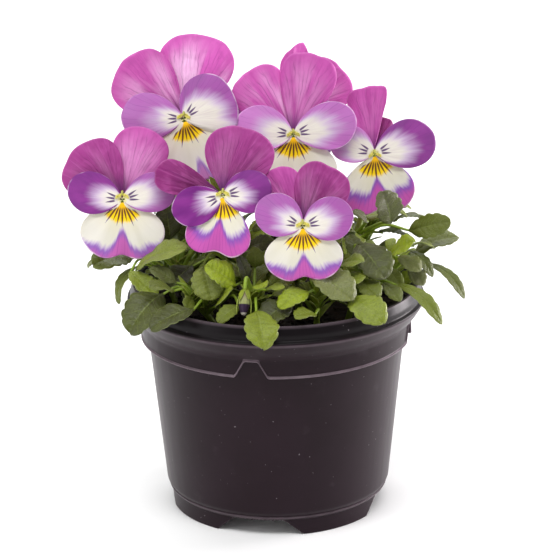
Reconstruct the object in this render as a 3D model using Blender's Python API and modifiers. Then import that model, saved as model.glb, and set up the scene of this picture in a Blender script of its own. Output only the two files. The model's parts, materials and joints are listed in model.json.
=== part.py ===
"""Potted horned violet: a plastic nursery pot of soil, with leafy shoots and seven open blooms."""

import math
import random
from collections import namedtuple

import bmesh
import bpy
from mathutils import Matrix, Vector, noise
from mathutils.bvhtree import BVHTree

# Sizes are in millimetres, and MM turns them into metres. Angles are in degrees.
MM = 0.001
GAP = 0.3

# The origin is on the ground under the middle of the whole plant, and the pot stands beside it.
POT_AXIS = (3.8, 2.8)

# The pot is a thin shell: a swelling collar with a lip, a shoulder band below it, a tapered body
# and a foot ring under its raised floor.
POT_STEPS = 32
WALL = 1.3
POT_HEIGHT = 82.0
TOP_RADIUS = 50.4
RIM_ROUND = 0.5
COLLAR_SWELL = 1.0
COLLAR_SWELL_TOP = 79.0
COLLAR_SWELL_LOW = 77.1
COLLAR_LOW = 72.1
LIP_RADIUS = 52.5
LIP_HEIGHT = 76.0
LIP_HALF = 0.45
BAND_RADIUS = 47.5
BAND_TOP = 68.6
BAND_BOTTOM = 62.0
BAND_EDGE = 0.6
BODY_TOP_RADIUS = 45.3
BODY_LOW_RADIUS = 39.7
BODY_LOW = 9.0
SEAM_RADIUS = 38.6
SEAM_HEIGHT = 6.4
SEAM_STEP = 0.5
FOOT_RADIUS = 37.9
FLOOR_LOW = 6.4
QUARTERS = 4
SHARP_ANGLE = 35

# Each notch in the band widens downward and stops flush with the body below. The wall runs on
# behind it, sunk into the band's inner side.
NOTCH_ANGLE = -10.6
NOTCH_LOW_WIDTH = 11.5
NOTCH_TOP_WIDTH = 4.8
NOTCH_TOP = 68.0
NOTCH_FRONT = BODY_TOP_RADIUS + 0.1
NOTCH_BACK = 44.2
NOTCH_SINK = 0.8
CUT_OVERRUN = 1.0
CUT_REACH = 4.0

# Each gap in the foot ring is a sloped arch, and the floor inside it has drain holes.
FOOT_GAP_LOW_WIDTH = 31.0
FOOT_GAP_TOP_WIDTH = 17.7
FOOT_GAP_HEIGHT = 6.0
FOOT_GAP_DEPTH = 9.0
DRAIN_COUNT = 6
DRAIN_SIDES = 8
DRAIN_RADIUS = 3.0
DRAIN_RING = 24.0

# The soil fills the pot to just below the collar, with a lumpy top.
SOIL_TOP = 72.0
SOIL_LUMP = 0.9
SOIL_LUMP_SIZES = (11.0, 4.5)
SOIL_LEVEL_EDGE = (38.0, 46.0)
SOIL_FLARE = 1.2
SOIL_RINGS = 3
SOIL_STEPS = 15
ROOT_DEPTH = 5.0
ROOT_RISE = 1.0
HOLE_GAP = GAP + 0.15

# Thicknesses of the blades and sizes of the green tubes.
PETAL_THICKNESS = 0.7
LEAF_THICKNESS = 0.8
STEM_RADIUS = 1.45
STALK_RADIUS = 0.85
PETIOLE_RADIUS = 0.62

# Layers of a bloom, measured forward from its throat. Sides lie over the lip and the uppers.
SIDE_LAYERS = (-0.1, 0.3)
LIP_LAYER = -1.4
UPPER_FRONT_LAYER = -3.0
UPPER_BACK_LAYER = -4.4
BOSS_RADIUS = 1.9
FRONT_BOSS = (-2.0, 0.9)
UPPER_BOSS = (-5.0, -2.4)
CALYX_FRONT = -5.4
CALYX_DEPTH = 3.4
CALYX_RADIUS = 2.4
SEPAL_LENGTH = 8.5
SEPAL_HEADINGS = (52, 128, 196, 270, 344)
SEPAL_DEPTHS = (-0.8, -0.9, -1.8)
SPUR_LENGTH = 6.5
SPUR_RADIUS = 1.2
SPUR_DROP = 0.8

# How finely the blades and stems are divided.
PETAL_FAN_STEPS = 8
PETAL_REACH_STEPS = 2
PETIOLE_STEPS = 3
BLOOM_STEM_POINTS = 8
LEAFY_STEM_POINTS = 5
BUD_STALK_POINTS = 6

# A leaf's edge has rounded teeth, and its blade is cupped, arched and slightly waved.
BLADE_ROWS = 7
FIRST_DENT = 0.11
TOOTH_SPACING = 0.26
TOOTH_DEPTH = 0.20
LEAF_FULLNESS = 0.5
LEAF_BELLY = 0.9
LEAF_CUP = 0.30
LEAF_CUP_ROUND = 0.12
LEAF_WAVE = 0.05
FACE_UP_FRONT = (0, -0.45, 0.9)
FACE_UP_HEIGHT = 60.0
FRONT_LEAVES_END = 5.0

# A petal's outline is a fan: how fast its reach drops from the middle to the sides.
Outline = namedtuple("Outline", "power falloff lean ruffle waves")
UPPER = Outline(power=3.0, falloff=0.40, lean=0.13, ruffle=0.030, waves=2.0)
SIDE = Outline(power=2.0, falloff=1.10, lean=0.07, ruffle=0.018, waves=1.5)
LIP = Outline(power=4.5, falloff=0.60, lean=0.05, ruffle=0.028, waves=2.5)
FAN_LIMIT = 0.96
LIP_NOTCH = 0.11
LIP_NOTCH_SPREAD = 11.0
FOLD_REACH = (0.25, 0.7)

# A petal points in a direction seen from the front, counted from the bloom's right side upward.
Petal = namedtuple("Petal", "direction length spread fold", defaults=(0.0,))

# A bloom's throat is a point, turn faces it to its left or right, and nod tips its face upward.
Bloom = namedtuple("Bloom", "name throat turn nod uppers sides lip root knee neck")
BLOOMS = (
    Bloom(
        name="bloom_top_left", throat=(-31.4, 6.0, 139.4), turn=-4, nod=18,
        uppers=(Petal(143, 30.8, 40), Petal(81, 30.4, 44)),
        sides=(Petal(173, 22.5, 60), Petal(41, 19.2, 80)), lip=Petal(-70, 22.5, 80),
        root=(-15, 11), knee=(-20, 14, 100), neck=(-32, 23, 138),
    ),
    Bloom(
        name="bloom_left", throat=(-52.6, -14.0, 116.3), turn=-3, nod=17,
        uppers=(Petal(131, 25.4, 48), Petal(69, 25.6, 38)),
        sides=(Petal(168, 19.4, 62), Petal(14, 19.0, 60)), lip=Petal(-91, 21.3, 70),
        root=(-24, -6), knee=(-37, -4, 93), neck=(-53, 2, 114.5),
    ),
    Bloom(
        name="bloom_middle_left", throat=(-17.6, -28.0, 121.8), turn=-4, nod=20,
        uppers=(Petal(75, 24.6, 50), Petal(160, 25.4, 22, 0.2)),
        sides=(Petal(201, 19.6, 60), Petal(9, 15.8, 74)), lip=Petal(-97, 21.4, 58),
        root=(-9, -11), knee=(-13, -13, 96), neck=(-18, -11, 120.5),
    ),
    Bloom(
        name="bloom_front", throat=(9.4, -35.0, 112.7), turn=2, nod=19,
        uppers=(Petal(66, 22.2, 42), Petal(120, 22.2, 42)),
        sides=(Petal(154, 17.2, 72), Petal(16, 17.9, 70)), lip=Petal(-89, 19.4, 72),
        root=(8, -15), knee=(8, -18, 92), neck=(9, -18, 111.5),
    ),
    Bloom(
        name="bloom_top_middle", throat=(6.7, 3.0, 134.1), turn=3, nod=18,
        uppers=(Petal(75, 30.0, 38), Petal(128, 28.3, 36)),
        sides=(Petal(167, 20.6, 64), Petal(17, 22.6, 60)), lip=Petal(-90, 22.8, 70),
        root=(2, 3), knee=(5, 8, 98), neck=(7, 18.5, 132),
    ),
    Bloom(
        name="bloom_right", throat=(35.1, 8.0, 125.3), turn=8, nod=18,
        uppers=(Petal(95, 23.6, 24, 0.35), Petal(66, 14.0, 30, 0.3)),
        sides=(Petal(155, 16.4, 66), Petal(20, 22.8, 62)), lip=Petal(-86, 22.0, 66),
        root=(20, 4), knee=(29, 9, 96), neck=(36, 24, 124),
    ),
    Bloom(
        name="bloom_back", throat=(8.0, 28.0, 135.4), turn=6, nod=16,
        uppers=(Petal(38, 23.0, 44), Petal(96, 24.5, 26, 0.3)),
        sides=(Petal(176, 21.6, 50), Petal(8, 19.0, 60)), lip=Petal(-92, 20.5, 68),
        root=(6, 18), knee=(8, 27, 98), neck=(8, 43, 134),
    ),
)

# A leaf runs from the base of its blade to its tip, and roll turns it about its midrib.
Leaf = namedtuple("Leaf", "base tip width roll arch", defaults=(0, 0.10))

# The leaves that show from the front, by the shoot that carries them.
SHOOT_LEAVES = {
    "bloom_left_shoot": (
        Leaf((-47, -17, 94), (-29, -24, 104), 8.5, -20),
        Leaf((-49, -19, 94), (-39, -28, 89), 8, 0),
        Leaf((-48, -8, 90), (-55, -13, 78), 5, 30, 0.2),
    ),
    "bloom_middle_left_shoot": (
        Leaf((-25, -26, 96), (-22, -34, 86), 11, 0),
        Leaf((-14, -29, 90), (-24, -31, 98), 7.5, 20),
        Leaf((-29, -15, 92), (-37, -23, 86), 9, 0),
    ),
    "bloom_front_shoot": (
        Leaf((20, -24, 99), (25, -30, 110), 8, 0),
        Leaf((22, -26, 95), (30, -33, 99), 6.5, 0),
    ),
    "bloom_right_shoot": (
        Leaf((40, -12, 106), (37, -13, 118), 10, 0),
        Leaf((32, -5, 104), (27, -8, 109), 4.5, 0),
        Leaf((47, -5, 101), (61, -10, 106), 8, 50),
    ),
    "leafy_shoot_front_left": (
        Leaf((-39, -30, 87), (-50, -41, 77), 13, 0, 0.16),
        Leaf((-27, -37, 86.5), (-41, -45, 83), 11, 0),
        Leaf((-13, -39, 84), (-20, -47, 80), 6.5, 0),
    ),
    "leafy_shoot_front": (
        Leaf((-7, -43, 85), (-5, -55, 76), 11.5, 0, 0.16),
        Leaf((-10, -27, 90), (-13, -27, 100), 5, 10),
        Leaf((-7, -22, 94), (-7, -24, 102), 5.5, 0),
        Leaf((-3, -35, 90), (3, -39, 92), 3.5, 0),
    ),
    "leafy_shoot_front_right": (
        Leaf((12, -30, 95), (26, -42, 88), 12, 0),
        Leaf((11, -35, 89), (1, -43, 86), 7.5, 0),
        Leaf((6, -36, 87), (-4, -45, 83), 10.5, 0),
        Leaf((13, -41, 82), (6, -50, 84), 6, 0),
    ),
    "leafy_shoot_right_front": (
        Leaf((28, -21, 100), (37, -33, 91), 13.5, 0),
        Leaf((29, -26, 90), (35, -36, 87), 7.5, 0),
        Leaf((36, -20, 85), (41, -28, 81), 6.5, 0),
        Leaf((26, -36, 87), (37, -48, 83), 11, 0, 0.14),
        Leaf((42, -20, 86), (57, -30, 75), 7, 0, 0.2),
    ),
    "leafy_shoot_right": (
        Leaf((40, -16, 95), (48, -21, 102), 8.5, 0),
        Leaf((43, -11, 93), (50, -17, 90), 6.5, 0),
        Leaf((47, -9, 89), (51, -15, 84), 6, 0),
        Leaf((40, -14, 90), (44, -19, 85), 5.5, 40),
        Leaf((54, -3, 88), (66, -9, 77), 7.5, 0, 0.2),
        Leaf((46, -6, 94), (55, -11, 86), 4.5, 0, 0.2),
    ),
}

# Shoots with no bloom: where each leaves the soil, and its top.
LEAFY_SHOOTS = {
    "leafy_shoot_front_left": ((-22, -20), (-29, -27, 84)),
    "leafy_shoot_front": ((-5, -25), (-8, -30, 84)),
    "leafy_shoot_front_right": ((14, -27), (14, -30, 86)),
    "leafy_shoot_right_front": ((25, -19), (29, -22, 88)),
    "leafy_shoot_right": ((33, -5), (40, -7, 88)),
    "leafy_shoot_back_right": ((27, 20), (34, 25, 92)),
    "leafy_shoot_back_left": ((-27, 19), (-33, 24, 90)),
    "leafy_shoot_left": ((-36, 4), (-42, 5, 88)),
}

# The leaves at the sides and back follow a rule: how many a shoot has, and the way they face.
Spray = namedtuple("Spray", "count heading spread")
SPRAYS = {
    "bloom_top_left_shoot": Spray(3, 125, 70),
    "bloom_top_middle_shoot": Spray(2, 60, 60),
    "bloom_back_shoot": Spray(3, 85, 90),
    "leafy_shoot_back_right": Spray(5, 45, 110),
    "leafy_shoot_back_left": Spray(5, 140, 120),
    "leafy_shoot_left": Spray(4, 185, 90),
    "leafy_shoot_right": Spray(1, 15, 10),
    "bloom_right_shoot": Spray(1, 50, 60),
}
SPRAY_SEED = 11
SPRAY_STRAY = 12
SPRAY_LOW = 9
SPRAY_REACH = (6, 12)
SPRAY_RISE = (5, 9)
SPRAY_SLOPE = (-0.35, 0.35)
SPRAY_LENGTH = (12, 17)
SPRAY_WIDTH = (0.62, 0.8)
SPRAY_ROLL = (-15, 15)
SPRAY_ARCH = 0.12

# One shoot has a closed bud that hangs from a bent stalk.
BUD_SHOOT = "leafy_shoot_front"
BUD_TOP = (-10.5, -38.0, 91.0)
BUD_TIP = (-11.0, -42.0, 83.5)
BUD_CROOK = (0.5, 2.5, 3.5)
BUD_RADIUS = 2.0

# A leaf that touches something is shifted along a widening spiral until it is free.
SETTLE_TRIES = 60
SPRAY_DRAWS = 6
SPRAY_TRIES = 8
SETTLE_STEP = 0.7
SETTLE_TURN = 137.5
SETTLE_SHIFT = (0.35, 1.0, 0.6)
SETTLE_TIP = 1.3
SETTLE_ROLL = 2
SETTLE_SHRINK = 0.004

# The room that is kept around each thing while the leaves are placed.
PETAL_ROOM = 0.8
STEM_ROOM = 0.8
CALYX_ROOM = 0.7
BUD_ROOM = 0.8
PETIOLE_ROOM = 0.8
LEAF_ROOM = 0.45
POT_ROOM = 0.9
SOIL_ROOM = 2.0
GUARD_PETAL_STEPS = (8, 3)
GUARD_POT_STEP = 10

COLORS = {
    "pot": ((0.030, 0.018, 0.024), 0.42),
    "soil": ((0.035, 0.022, 0.014), 0.95),
    "upper_petals": ((0.430, 0.060, 0.300), 0.55),
    "front_petals": ((0.800, 0.720, 0.640), 0.55),
    "shoot": ((0.120, 0.240, 0.045), 0.50),
}


def mix(start, end, share):
    return start + (end - start) * share


def smooth_step(low, high, value):
    share = min(max((value - low) / (high - low), 0.0), 1.0)
    return share * share * (3 - 2 * share)


def collection_for(name, parent=None):
    made = bpy.data.collections.new(name)
    (parent or bpy.context.scene.collection).children.link(made)
    return made


def link(name, mesh, collection):
    made = bpy.data.objects.new(name, mesh)
    collection.objects.link(made)
    return made


def link_work(name, work, collection):
    """An object from a bmesh, which is freed."""
    mesh = bpy.data.meshes.new(name)
    work.to_mesh(mesh)
    work.free()
    return link(name, mesh, collection)


def material_for(name, kind):
    color, roughness = COLORS[kind]
    made = bpy.data.materials.new(name)
    made.use_nodes = True
    shader = made.node_tree.nodes["Principled BSDF"]
    shader.inputs["Base Color"].default_value = (*color, 1.0)
    shader.inputs["Roughness"].default_value = roughness
    return made


def evaluated_mesh(source):
    """A copy of the object's mesh with its modifiers applied."""
    bpy.context.view_layer.update()
    graph = bpy.context.evaluated_depsgraph_get()
    return bpy.data.meshes.new_from_object(source.evaluated_get(graph))


def weld(mesh, distance=1e-6):
    work = bmesh.new()
    work.from_mesh(mesh)
    bmesh.ops.remove_doubles(work, verts=work.verts, dist=distance)
    work.to_mesh(mesh)
    work.free()


def shade_round(mesh):
    mesh.shade_smooth()
    mesh.set_sharp_from_angle(angle=math.radians(SHARP_ANGLE))


def smooth_path(points, count):
    """Catmull-Rom curve through the points, sampled evenly between its first and last."""
    points = [Vector(p) for p in points]
    ends = [points[0] * 2 - points[1]] + points + [points[-1] * 2 - points[-2]]
    path = []
    for step in range(count):
        place = step * (len(points) - 1) / (count - 1)
        index = min(int(place), len(points) - 2)
        share = place - index
        a, b, c, d = ends[index : index + 4]
        even = b + (c - a) * (share / 2)
        square = (a - b * 2.5 + c * 2 - d * 0.5) * share**2
        cube = ((b - c) * 1.5 + (d - a) * 0.5) * share**3
        path.append(even + square + cube)
    return path


def tube(name, path, radii, collection, sides=6):
    """A tapered tube along the path, made as a bevelled curve and turned into a closed mesh."""
    curve = bpy.data.curves.new(name, "CURVE")
    curve.dimensions = "3D"
    curve.bevel_depth = MM
    curve.bevel_resolution = (sides - 4) // 2
    curve.use_fill_caps = True
    spline = curve.splines.new("POLY")
    spline.points.add(len(path) - 1)
    for point, place, radius in zip(spline.points, path, radii):
        point.co = (*(place * MM), 1.0)
        point.radius = radius
    guide = link(name, curve, collection)
    mesh = evaluated_mesh(guide)
    bpy.data.objects.remove(guide)
    bpy.data.curves.remove(curve)
    weld(mesh)
    return link(name, mesh, collection)


def taper(start, end, count):
    return [mix(start, end, step / (count - 1)) for step in range(count)]


def ball(name, center, axis, radius, half_length, collection):
    """An egg shape with its long axis along the given direction."""
    work = bmesh.new()
    bmesh.ops.create_uvsphere(work, u_segments=6, v_segments=4, radius=MM)
    turn = axis.to_track_quat("Z", "Y").to_matrix().to_4x4()
    stretch = Matrix.Diagonal((radius, radius, half_length, 1.0))
    place = Matrix.Translation(center * MM)
    bmesh.ops.transform(work, matrix=place @ turn @ stretch, verts=work.verts)
    return link_work(name, work, collection)


def sheet_triangles(low, high):
    """Triangles between two neighbouring rows, alike on both sides of the middle."""
    if len(low) == 1:
        return [(low[0], high[i], high[i + 1]) for i in range(len(high) - 1)]
    if len(high) == 1:
        return [(low[i], high[0], low[i + 1]) for i in range(len(low) - 1)]
    if (len(low), len(high)) == (2, 3):
        return [
            (low[0], high[0], high[1]), (low[0], high[1], low[1]), (low[1], high[1], high[2])
        ]
    made = []
    for i in range(len(low) - 1):
        if i < len(low) // 2:
            made += [(low[i], high[i], high[i + 1]), (low[i], high[i + 1], low[i + 1])]
        else:
            made += [(low[i], high[i], low[i + 1]), (low[i + 1], high[i], high[i + 1])]
    return made


def sheet(name, rows, thickness, collection):
    """A thin closed blade over rows of points. A row of one point closes the sheet there."""
    work = bmesh.new()
    made = [[work.verts.new(point * MM) for point in row] for row in rows]
    for low, high in zip(made, made[1:]):
        for corners in sheet_triangles(low, high):
            work.faces.new(corners)
    bmesh.ops.remove_doubles(work, verts=work.verts, dist=MM / 1000)
    blade = link_work(name, work, collection)
    shell = blade.modifiers.new("thickness", "SOLIDIFY")
    shell.thickness = thickness * MM
    shell.offset = 0.0
    return blade


def fuse(name, pieces, kind, parts):
    """One body from the pieces, by a Boolean union on the collection of all but the first.

    Thin blades meet at shallow angles, which the EXACT solver doesn't always join cleanly.
    """
    first, others = pieces[0], pieces[1:]
    operands = collection_for(name + "_operands")
    for piece in others:
        for holder in piece.users_collection:
            holder.objects.unlink(piece)
        operands.objects.link(piece)
    union = first.modifiers.new("union", "BOOLEAN")
    union.operation = "UNION"
    union.operand_type = "COLLECTION"
    union.collection = operands
    union.solver = "MANIFOLD"
    body = link(name, evaluated_mesh(first), parts)
    body.data.name = name
    weld(body.data)
    shade_round(body.data)
    body.data.materials.clear()
    body.data.materials.append(material_for(name, kind))
    for piece in pieces:
        bpy.data.objects.remove(piece)
    bpy.data.collections.remove(operands)
    return body


# Pot


def body_radius(height):
    share = (height - BODY_LOW) / (BAND_BOTTOM - BODY_LOW)
    return mix(BODY_LOW_RADIUS, BODY_TOP_RADIUS, share)


def pot_profile():
    """The wall in section: along the floor, up the inside, over the rim and down the outside."""
    floor_top = FLOOR_LOW + WALL
    inside = [
        (0.0, floor_top),
        (BODY_LOW_RADIUS - WALL, floor_top),
        (BODY_TOP_RADIUS - WALL, BAND_BOTTOM + WALL),
        (BAND_RADIUS - WALL, BAND_BOTTOM + WALL),
        (BAND_RADIUS - WALL, BAND_TOP),
        (TOP_RADIUS - WALL, COLLAR_LOW),
        (TOP_RADIUS - WALL, POT_HEIGHT - RIM_ROUND),
        (TOP_RADIUS - WALL + RIM_ROUND, POT_HEIGHT),
    ]
    outside = [
        (TOP_RADIUS, POT_HEIGHT),
        (TOP_RADIUS + COLLAR_SWELL, COLLAR_SWELL_TOP),
        (TOP_RADIUS + COLLAR_SWELL, COLLAR_SWELL_LOW),
        (LIP_RADIUS, LIP_HEIGHT + LIP_HALF),
        (LIP_RADIUS, LIP_HEIGHT - LIP_HALF),
        (TOP_RADIUS, COLLAR_LOW),
        (BAND_RADIUS, BAND_TOP),
        (BAND_RADIUS, BAND_BOTTOM + BAND_EDGE),
        (BAND_RADIUS - BAND_EDGE, BAND_BOTTOM),
        (BODY_TOP_RADIUS, BAND_BOTTOM),
        (BODY_LOW_RADIUS, BODY_LOW),
        (SEAM_RADIUS, SEAM_HEIGHT),
        (FOOT_RADIUS, SEAM_HEIGHT - SEAM_STEP),
        (FOOT_RADIUS, 0.0),
    ]
    under = [
        (FOOT_RADIUS - WALL, 0.0),
        (FOOT_RADIUS - WALL, FLOOR_LOW),
        (0.0, FLOOR_LOW),
    ]
    return inside + outside + under


def turned(name, profile, steps, collection):
    """A closed body turned about Z from a profile of (radius, height) points."""
    line = bpy.data.meshes.new(name + "_profile")
    points = [(radius * MM, 0.0, height * MM) for radius, height in profile]
    line.from_pydata(points, [(i, i + 1) for i in range(len(points) - 1)], [])
    guide = link(name + "_profile", line, collection)
    screw = guide.modifiers.new("turn", "SCREW")
    screw.steps = steps
    screw.render_steps = steps
    screw.use_merge_vertices = True
    screw.merge_threshold = 0.00001
    body = link(name, evaluated_mesh(guide), collection)
    bpy.data.objects.remove(guide)
    shade_round(body.data)
    return body


def wedge(name, angle, widths, heights, radii, collection):
    """A block on the pot's wall whose sides lean in upward, for a notch or a gap.

    Its widths and heights are low then high, and its radii are near then far from the axis.
    """
    work = bmesh.new()
    bmesh.ops.create_cube(work, size=1.0)
    for vert in work.verts:
        upper = vert.co.z > 0
        vert.co.x *= widths[upper]
        vert.co.y = -radii[vert.co.y < 0]
        vert.co.z = heights[upper]
        vert.co *= MM
    turn = Matrix.Rotation(math.radians(angle), 4, "Z")
    bmesh.ops.transform(work, matrix=turn, verts=work.verts)
    return as_cutter(link_work(name, work, collection))


def run_down(widths, heights):
    """The same leaning block, carried on below its low end so that it cuts right through."""
    lean = (widths[0] - widths[1]) / (heights[1] - heights[0])
    return (widths[0] + lean * CUT_OVERRUN, widths[1]), (heights[0] - CUT_OVERRUN, heights[1])


def drain_hole(angle, collection):
    work = bmesh.new()
    bmesh.ops.create_cone(
        work, cap_ends=True, segments=DRAIN_SIDES, radius1=DRAIN_RADIUS * MM,
        radius2=DRAIN_RADIUS * MM, depth=4 * WALL * MM,
    )
    place = Vector((DRAIN_RING * math.sin(angle), DRAIN_RING * math.cos(angle), FLOOR_LOW))
    bmesh.ops.translate(work, vec=place * MM, verts=work.verts)
    return as_cutter(link_work("drain_hole", work, collection))


def as_cutter(cutter):
    cutter.hide_render = True
    cutter.display_type = "WIRE"
    return cutter


def boolean(body, operation, collection):
    tool = body.modifiers.new(operation.lower(), "BOOLEAN")
    tool.operation = operation
    tool.operand_type = "COLLECTION"
    tool.collection = collection
    tool.solver = "EXACT"


def make_pot(parts, cutters):
    shell = turned("pot", pot_profile(), POT_STEPS, parts)
    backs = collection_for("pot_notch_backs", cutters)
    cuts = collection_for("pot_cuts", cutters)
    notch = (NOTCH_LOW_WIDTH, NOTCH_TOP_WIDTH), (BAND_BOTTOM, NOTCH_TOP)
    back_widths = [width + 2 * WALL for width in notch[0]]
    back_heights = (BAND_BOTTOM + BAND_EDGE, NOTCH_TOP + WALL)
    foot_gap = (FOOT_GAP_LOW_WIDTH, FOOT_GAP_TOP_WIDTH), (0.0, FOOT_GAP_HEIGHT)
    for quarter in range(QUARTERS):
        angle = NOTCH_ANGLE + quarter * 360 / QUARTERS
        depth = NOTCH_BACK, BAND_RADIUS - NOTCH_SINK
        wedge("notch_back", angle, back_widths, back_heights, depth, backs)
        depth = NOTCH_FRONT, BAND_RADIUS + CUT_REACH
        wedge("notch", angle, *run_down(*notch), depth, cuts)
        depth = FOOT_RADIUS - FOOT_GAP_DEPTH, FOOT_RADIUS + CUT_REACH
        wedge("foot_gap", angle, *run_down(*foot_gap), depth, cuts)
    for hole in range(DRAIN_COUNT):
        drain_hole(math.radians((hole + 0.5) * 360 / DRAIN_COUNT), cuts)
    boolean(shell, "UNION", backs)
    boolean(shell, "DIFFERENCE", cuts)
    shell.data.materials.append(material_for("pot", "pot"))
    return shell


# Soil


def soil_radius(height):
    """The plug's radius, clear of the flats between the pot's steps."""
    return (body_radius(height) - WALL) * math.cos(math.pi / POT_STEPS) - GAP


def soil_profile():
    """The plug in section, clear of the pot, from the middle of its top to its foot."""
    low = FLOOR_LOW + WALL + GAP
    edge = (BAND_RADIUS - WALL) * math.cos(math.pi / POT_STEPS) - GAP
    reach = [(edge * ring / SOIL_RINGS, SOIL_TOP) for ring in range(SOIL_RINGS)]
    step = NOTCH_TOP + WALL + GAP
    side = [
        (edge + SOIL_FLARE, SOIL_TOP),
        (edge, step),
        (soil_radius(BAND_BOTTOM), step),
        (soil_radius(BAND_BOTTOM), BAND_BOTTOM),
        (soil_radius(BODY_LOW), BODY_LOW),
        (soil_radius(BODY_LOW) - (BODY_LOW - low), low),
    ]
    return reach + side + [(0.0, low)]


def soil_lump(x, y):
    """How far the soil's top stands above or below its level."""
    lumps = sum(noise.noise(Vector((x, y, size)) / size) for size in SOIL_LUMP_SIZES)
    return SOIL_LUMP * lumps * (1 - smooth_step(*SOIL_LEVEL_EDGE, math.hypot(x, y)))


def make_soil(parts, cutters, shoots):
    soil = turned("soil", soil_profile(), SOIL_STEPS, parts)
    for vert in soil.data.vertices:
        if abs(vert.co.z - SOIL_TOP * MM) < 0.1 * MM:
            vert.co.z += soil_lump(vert.co.x / MM, vert.co.y / MM) * MM
    holes = collection_for("stem_holes", cutters)
    for name in shoots:
        path = shoot_path(name)[0]
        count = sum(place.z < SOIL_TOP + 2 * ROOT_RISE for place in path) + 1
        route = [path[0] - Vector((0, 0, GAP))] + path[1:count]
        radii = [STEM_RADIUS + HOLE_GAP] * count
        as_cutter(tube("stem_hole", route, radii, holes))
    boolean(soil, "DIFFERENCE", holes)
    soil.data.materials.append(material_for("soil", "soil"))
    return soil


# Blooms


def bloom_frame(bloom):
    """The bloom's right, up and forward directions, and its throat."""
    turn, nod = math.radians(bloom.turn), math.radians(bloom.nod)
    right = Vector((math.cos(turn), math.sin(turn), 0))
    forward = Vector((math.sin(turn), -math.cos(turn), 0)) * math.cos(nod)
    forward.z = math.sin(nod)
    return right, forward.cross(right), forward, Vector(bloom.throat)


def bloom_point(bloom, x, y, z):
    right, up, forward, throat = bloom_frame(bloom)
    return throat + right * x + up * y + forward * z


def petal_point(petal, outline, layer, across, reach):
    """A point of a petal, from -1 to 1 across its fan and from 0 at the throat to 1 at its edge."""
    fan = across * FAN_LIMIT
    angle = fan * petal.spread
    length = petal.length * (1 - abs(fan) ** outline.power) ** outline.falloff
    if outline is LIP:
        length *= 1 - LIP_NOTCH * math.exp(-((angle / LIP_NOTCH_SPREAD) ** 2))
    radius = length * reach
    share = radius / petal.length
    heading = math.radians(petal.direction + angle)
    depth = layer - outline.lean * petal.length * share * share
    wave = math.sin(math.pi * outline.waves * across + petal.direction)
    depth += outline.ruffle * petal.length * wave * reach**3
    aside = abs(math.sin(math.radians(angle))) * radius
    depth -= petal.fold * aside * smooth_step(*FOLD_REACH, share)
    return radius * math.cos(heading), radius * math.sin(heading), depth


def petal_rows(bloom, petal, outline, layer, fan_steps, reach_steps):
    rows = [[Vector(bloom_point(bloom, 0, 0, layer))]]
    for ring in range(1, reach_steps + 1):
        row = []
        for step in range(fan_steps + 1):
            across = 2 * step / fan_steps - 1
            place = petal_point(petal, outline, layer, across, ring / reach_steps)
            row.append(bloom_point(bloom, *place))
        rows.append(row)
    return rows


def bloom_petals(bloom):
    """The five petals with their outline and layer, uppers first."""
    return (
        (bloom.uppers[0], UPPER, UPPER_FRONT_LAYER),
        (bloom.uppers[1], UPPER, UPPER_BACK_LAYER),
        (bloom.sides[0], SIDE, SIDE_LAYERS[0]),
        (bloom.sides[1], SIDE, SIDE_LAYERS[1]),
        (bloom.lip, LIP, LIP_LAYER),
    )


def boss(bloom, span, collection):
    """The short core that joins the petals of one layer at the throat."""
    low, high = span
    path = [bloom_point(bloom, 0, 0, low), bloom_point(bloom, 0, 0, high)]
    return tube("boss", path, [BOSS_RADIUS] * 2, collection)


def make_petals(bloom, parts):
    groups = (("upper_petals", (0, 1), UPPER_BOSS), ("front_petals", (2, 3, 4), FRONT_BOSS))
    petals = bloom_petals(bloom)
    for kind, picks, span in groups:
        pieces = [boss(bloom, span, parts)]
        for pick in picks:
            petal, outline, layer = petals[pick]
            rows = petal_rows(
                bloom, petal, outline, layer, PETAL_FAN_STEPS, PETAL_REACH_STEPS
            )
            pieces.append(sheet("petal", rows, PETAL_THICKNESS, parts))
        fuse(f"{bloom.name}_{kind}", pieces, kind, parts)


def sepal_rows(bloom):
    """Five pointed sepals behind the petals, joined in a star that leans slightly back."""
    middle, dent, tip = (CALYX_FRONT + depth for depth in SEPAL_DEPTHS)
    star = []
    for index in range(2 * len(SEPAL_HEADINGS) + 1):
        number = index // 2 % len(SEPAL_HEADINGS)
        heading, reach, depth = SEPAL_HEADINGS[number], SEPAL_LENGTH, tip
        if index % 2:
            after = SEPAL_HEADINGS[(number + 1) % len(SEPAL_HEADINGS)]
            heading += (after - heading) % 360 / 2
            reach, depth = CALYX_RADIUS + GAP, dent
        angle = math.radians(heading)
        star.append(bloom_point(bloom, reach * math.cos(angle), reach * math.sin(angle), depth))
    return [[bloom_point(bloom, 0, 0, middle)], star]


def make_calyx(bloom, collection):
    """Receptacle, five sepals and the spur behind a bloom."""
    forward = bloom_frame(bloom)[2]
    center = bloom_point(bloom, 0, 0, CALYX_FRONT - CALYX_DEPTH / 2)
    pieces = [ball("calyx", center, forward, CALYX_RADIUS, CALYX_DEPTH / 2, collection)]
    pieces.append(sheet("sepals", sepal_rows(bloom), PETAL_THICKNESS, collection))
    back = CALYX_FRONT - CALYX_DEPTH + 1
    spur = [
        bloom_point(bloom, 0, -SPUR_DROP, back),
        bloom_point(bloom, 0, -2 * SPUR_DROP, back - SPUR_LENGTH * 0.6),
        bloom_point(bloom, 0, -SPUR_DROP, back - SPUR_LENGTH),
    ]
    pieces.append(tube("spur", spur, taper(SPUR_RADIUS, SPUR_RADIUS / 2, len(spur)), collection))
    return pieces


# Shoots


def root_point(root, height):
    return Vector((root[0], root[1], SOIL_TOP + height))


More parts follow.
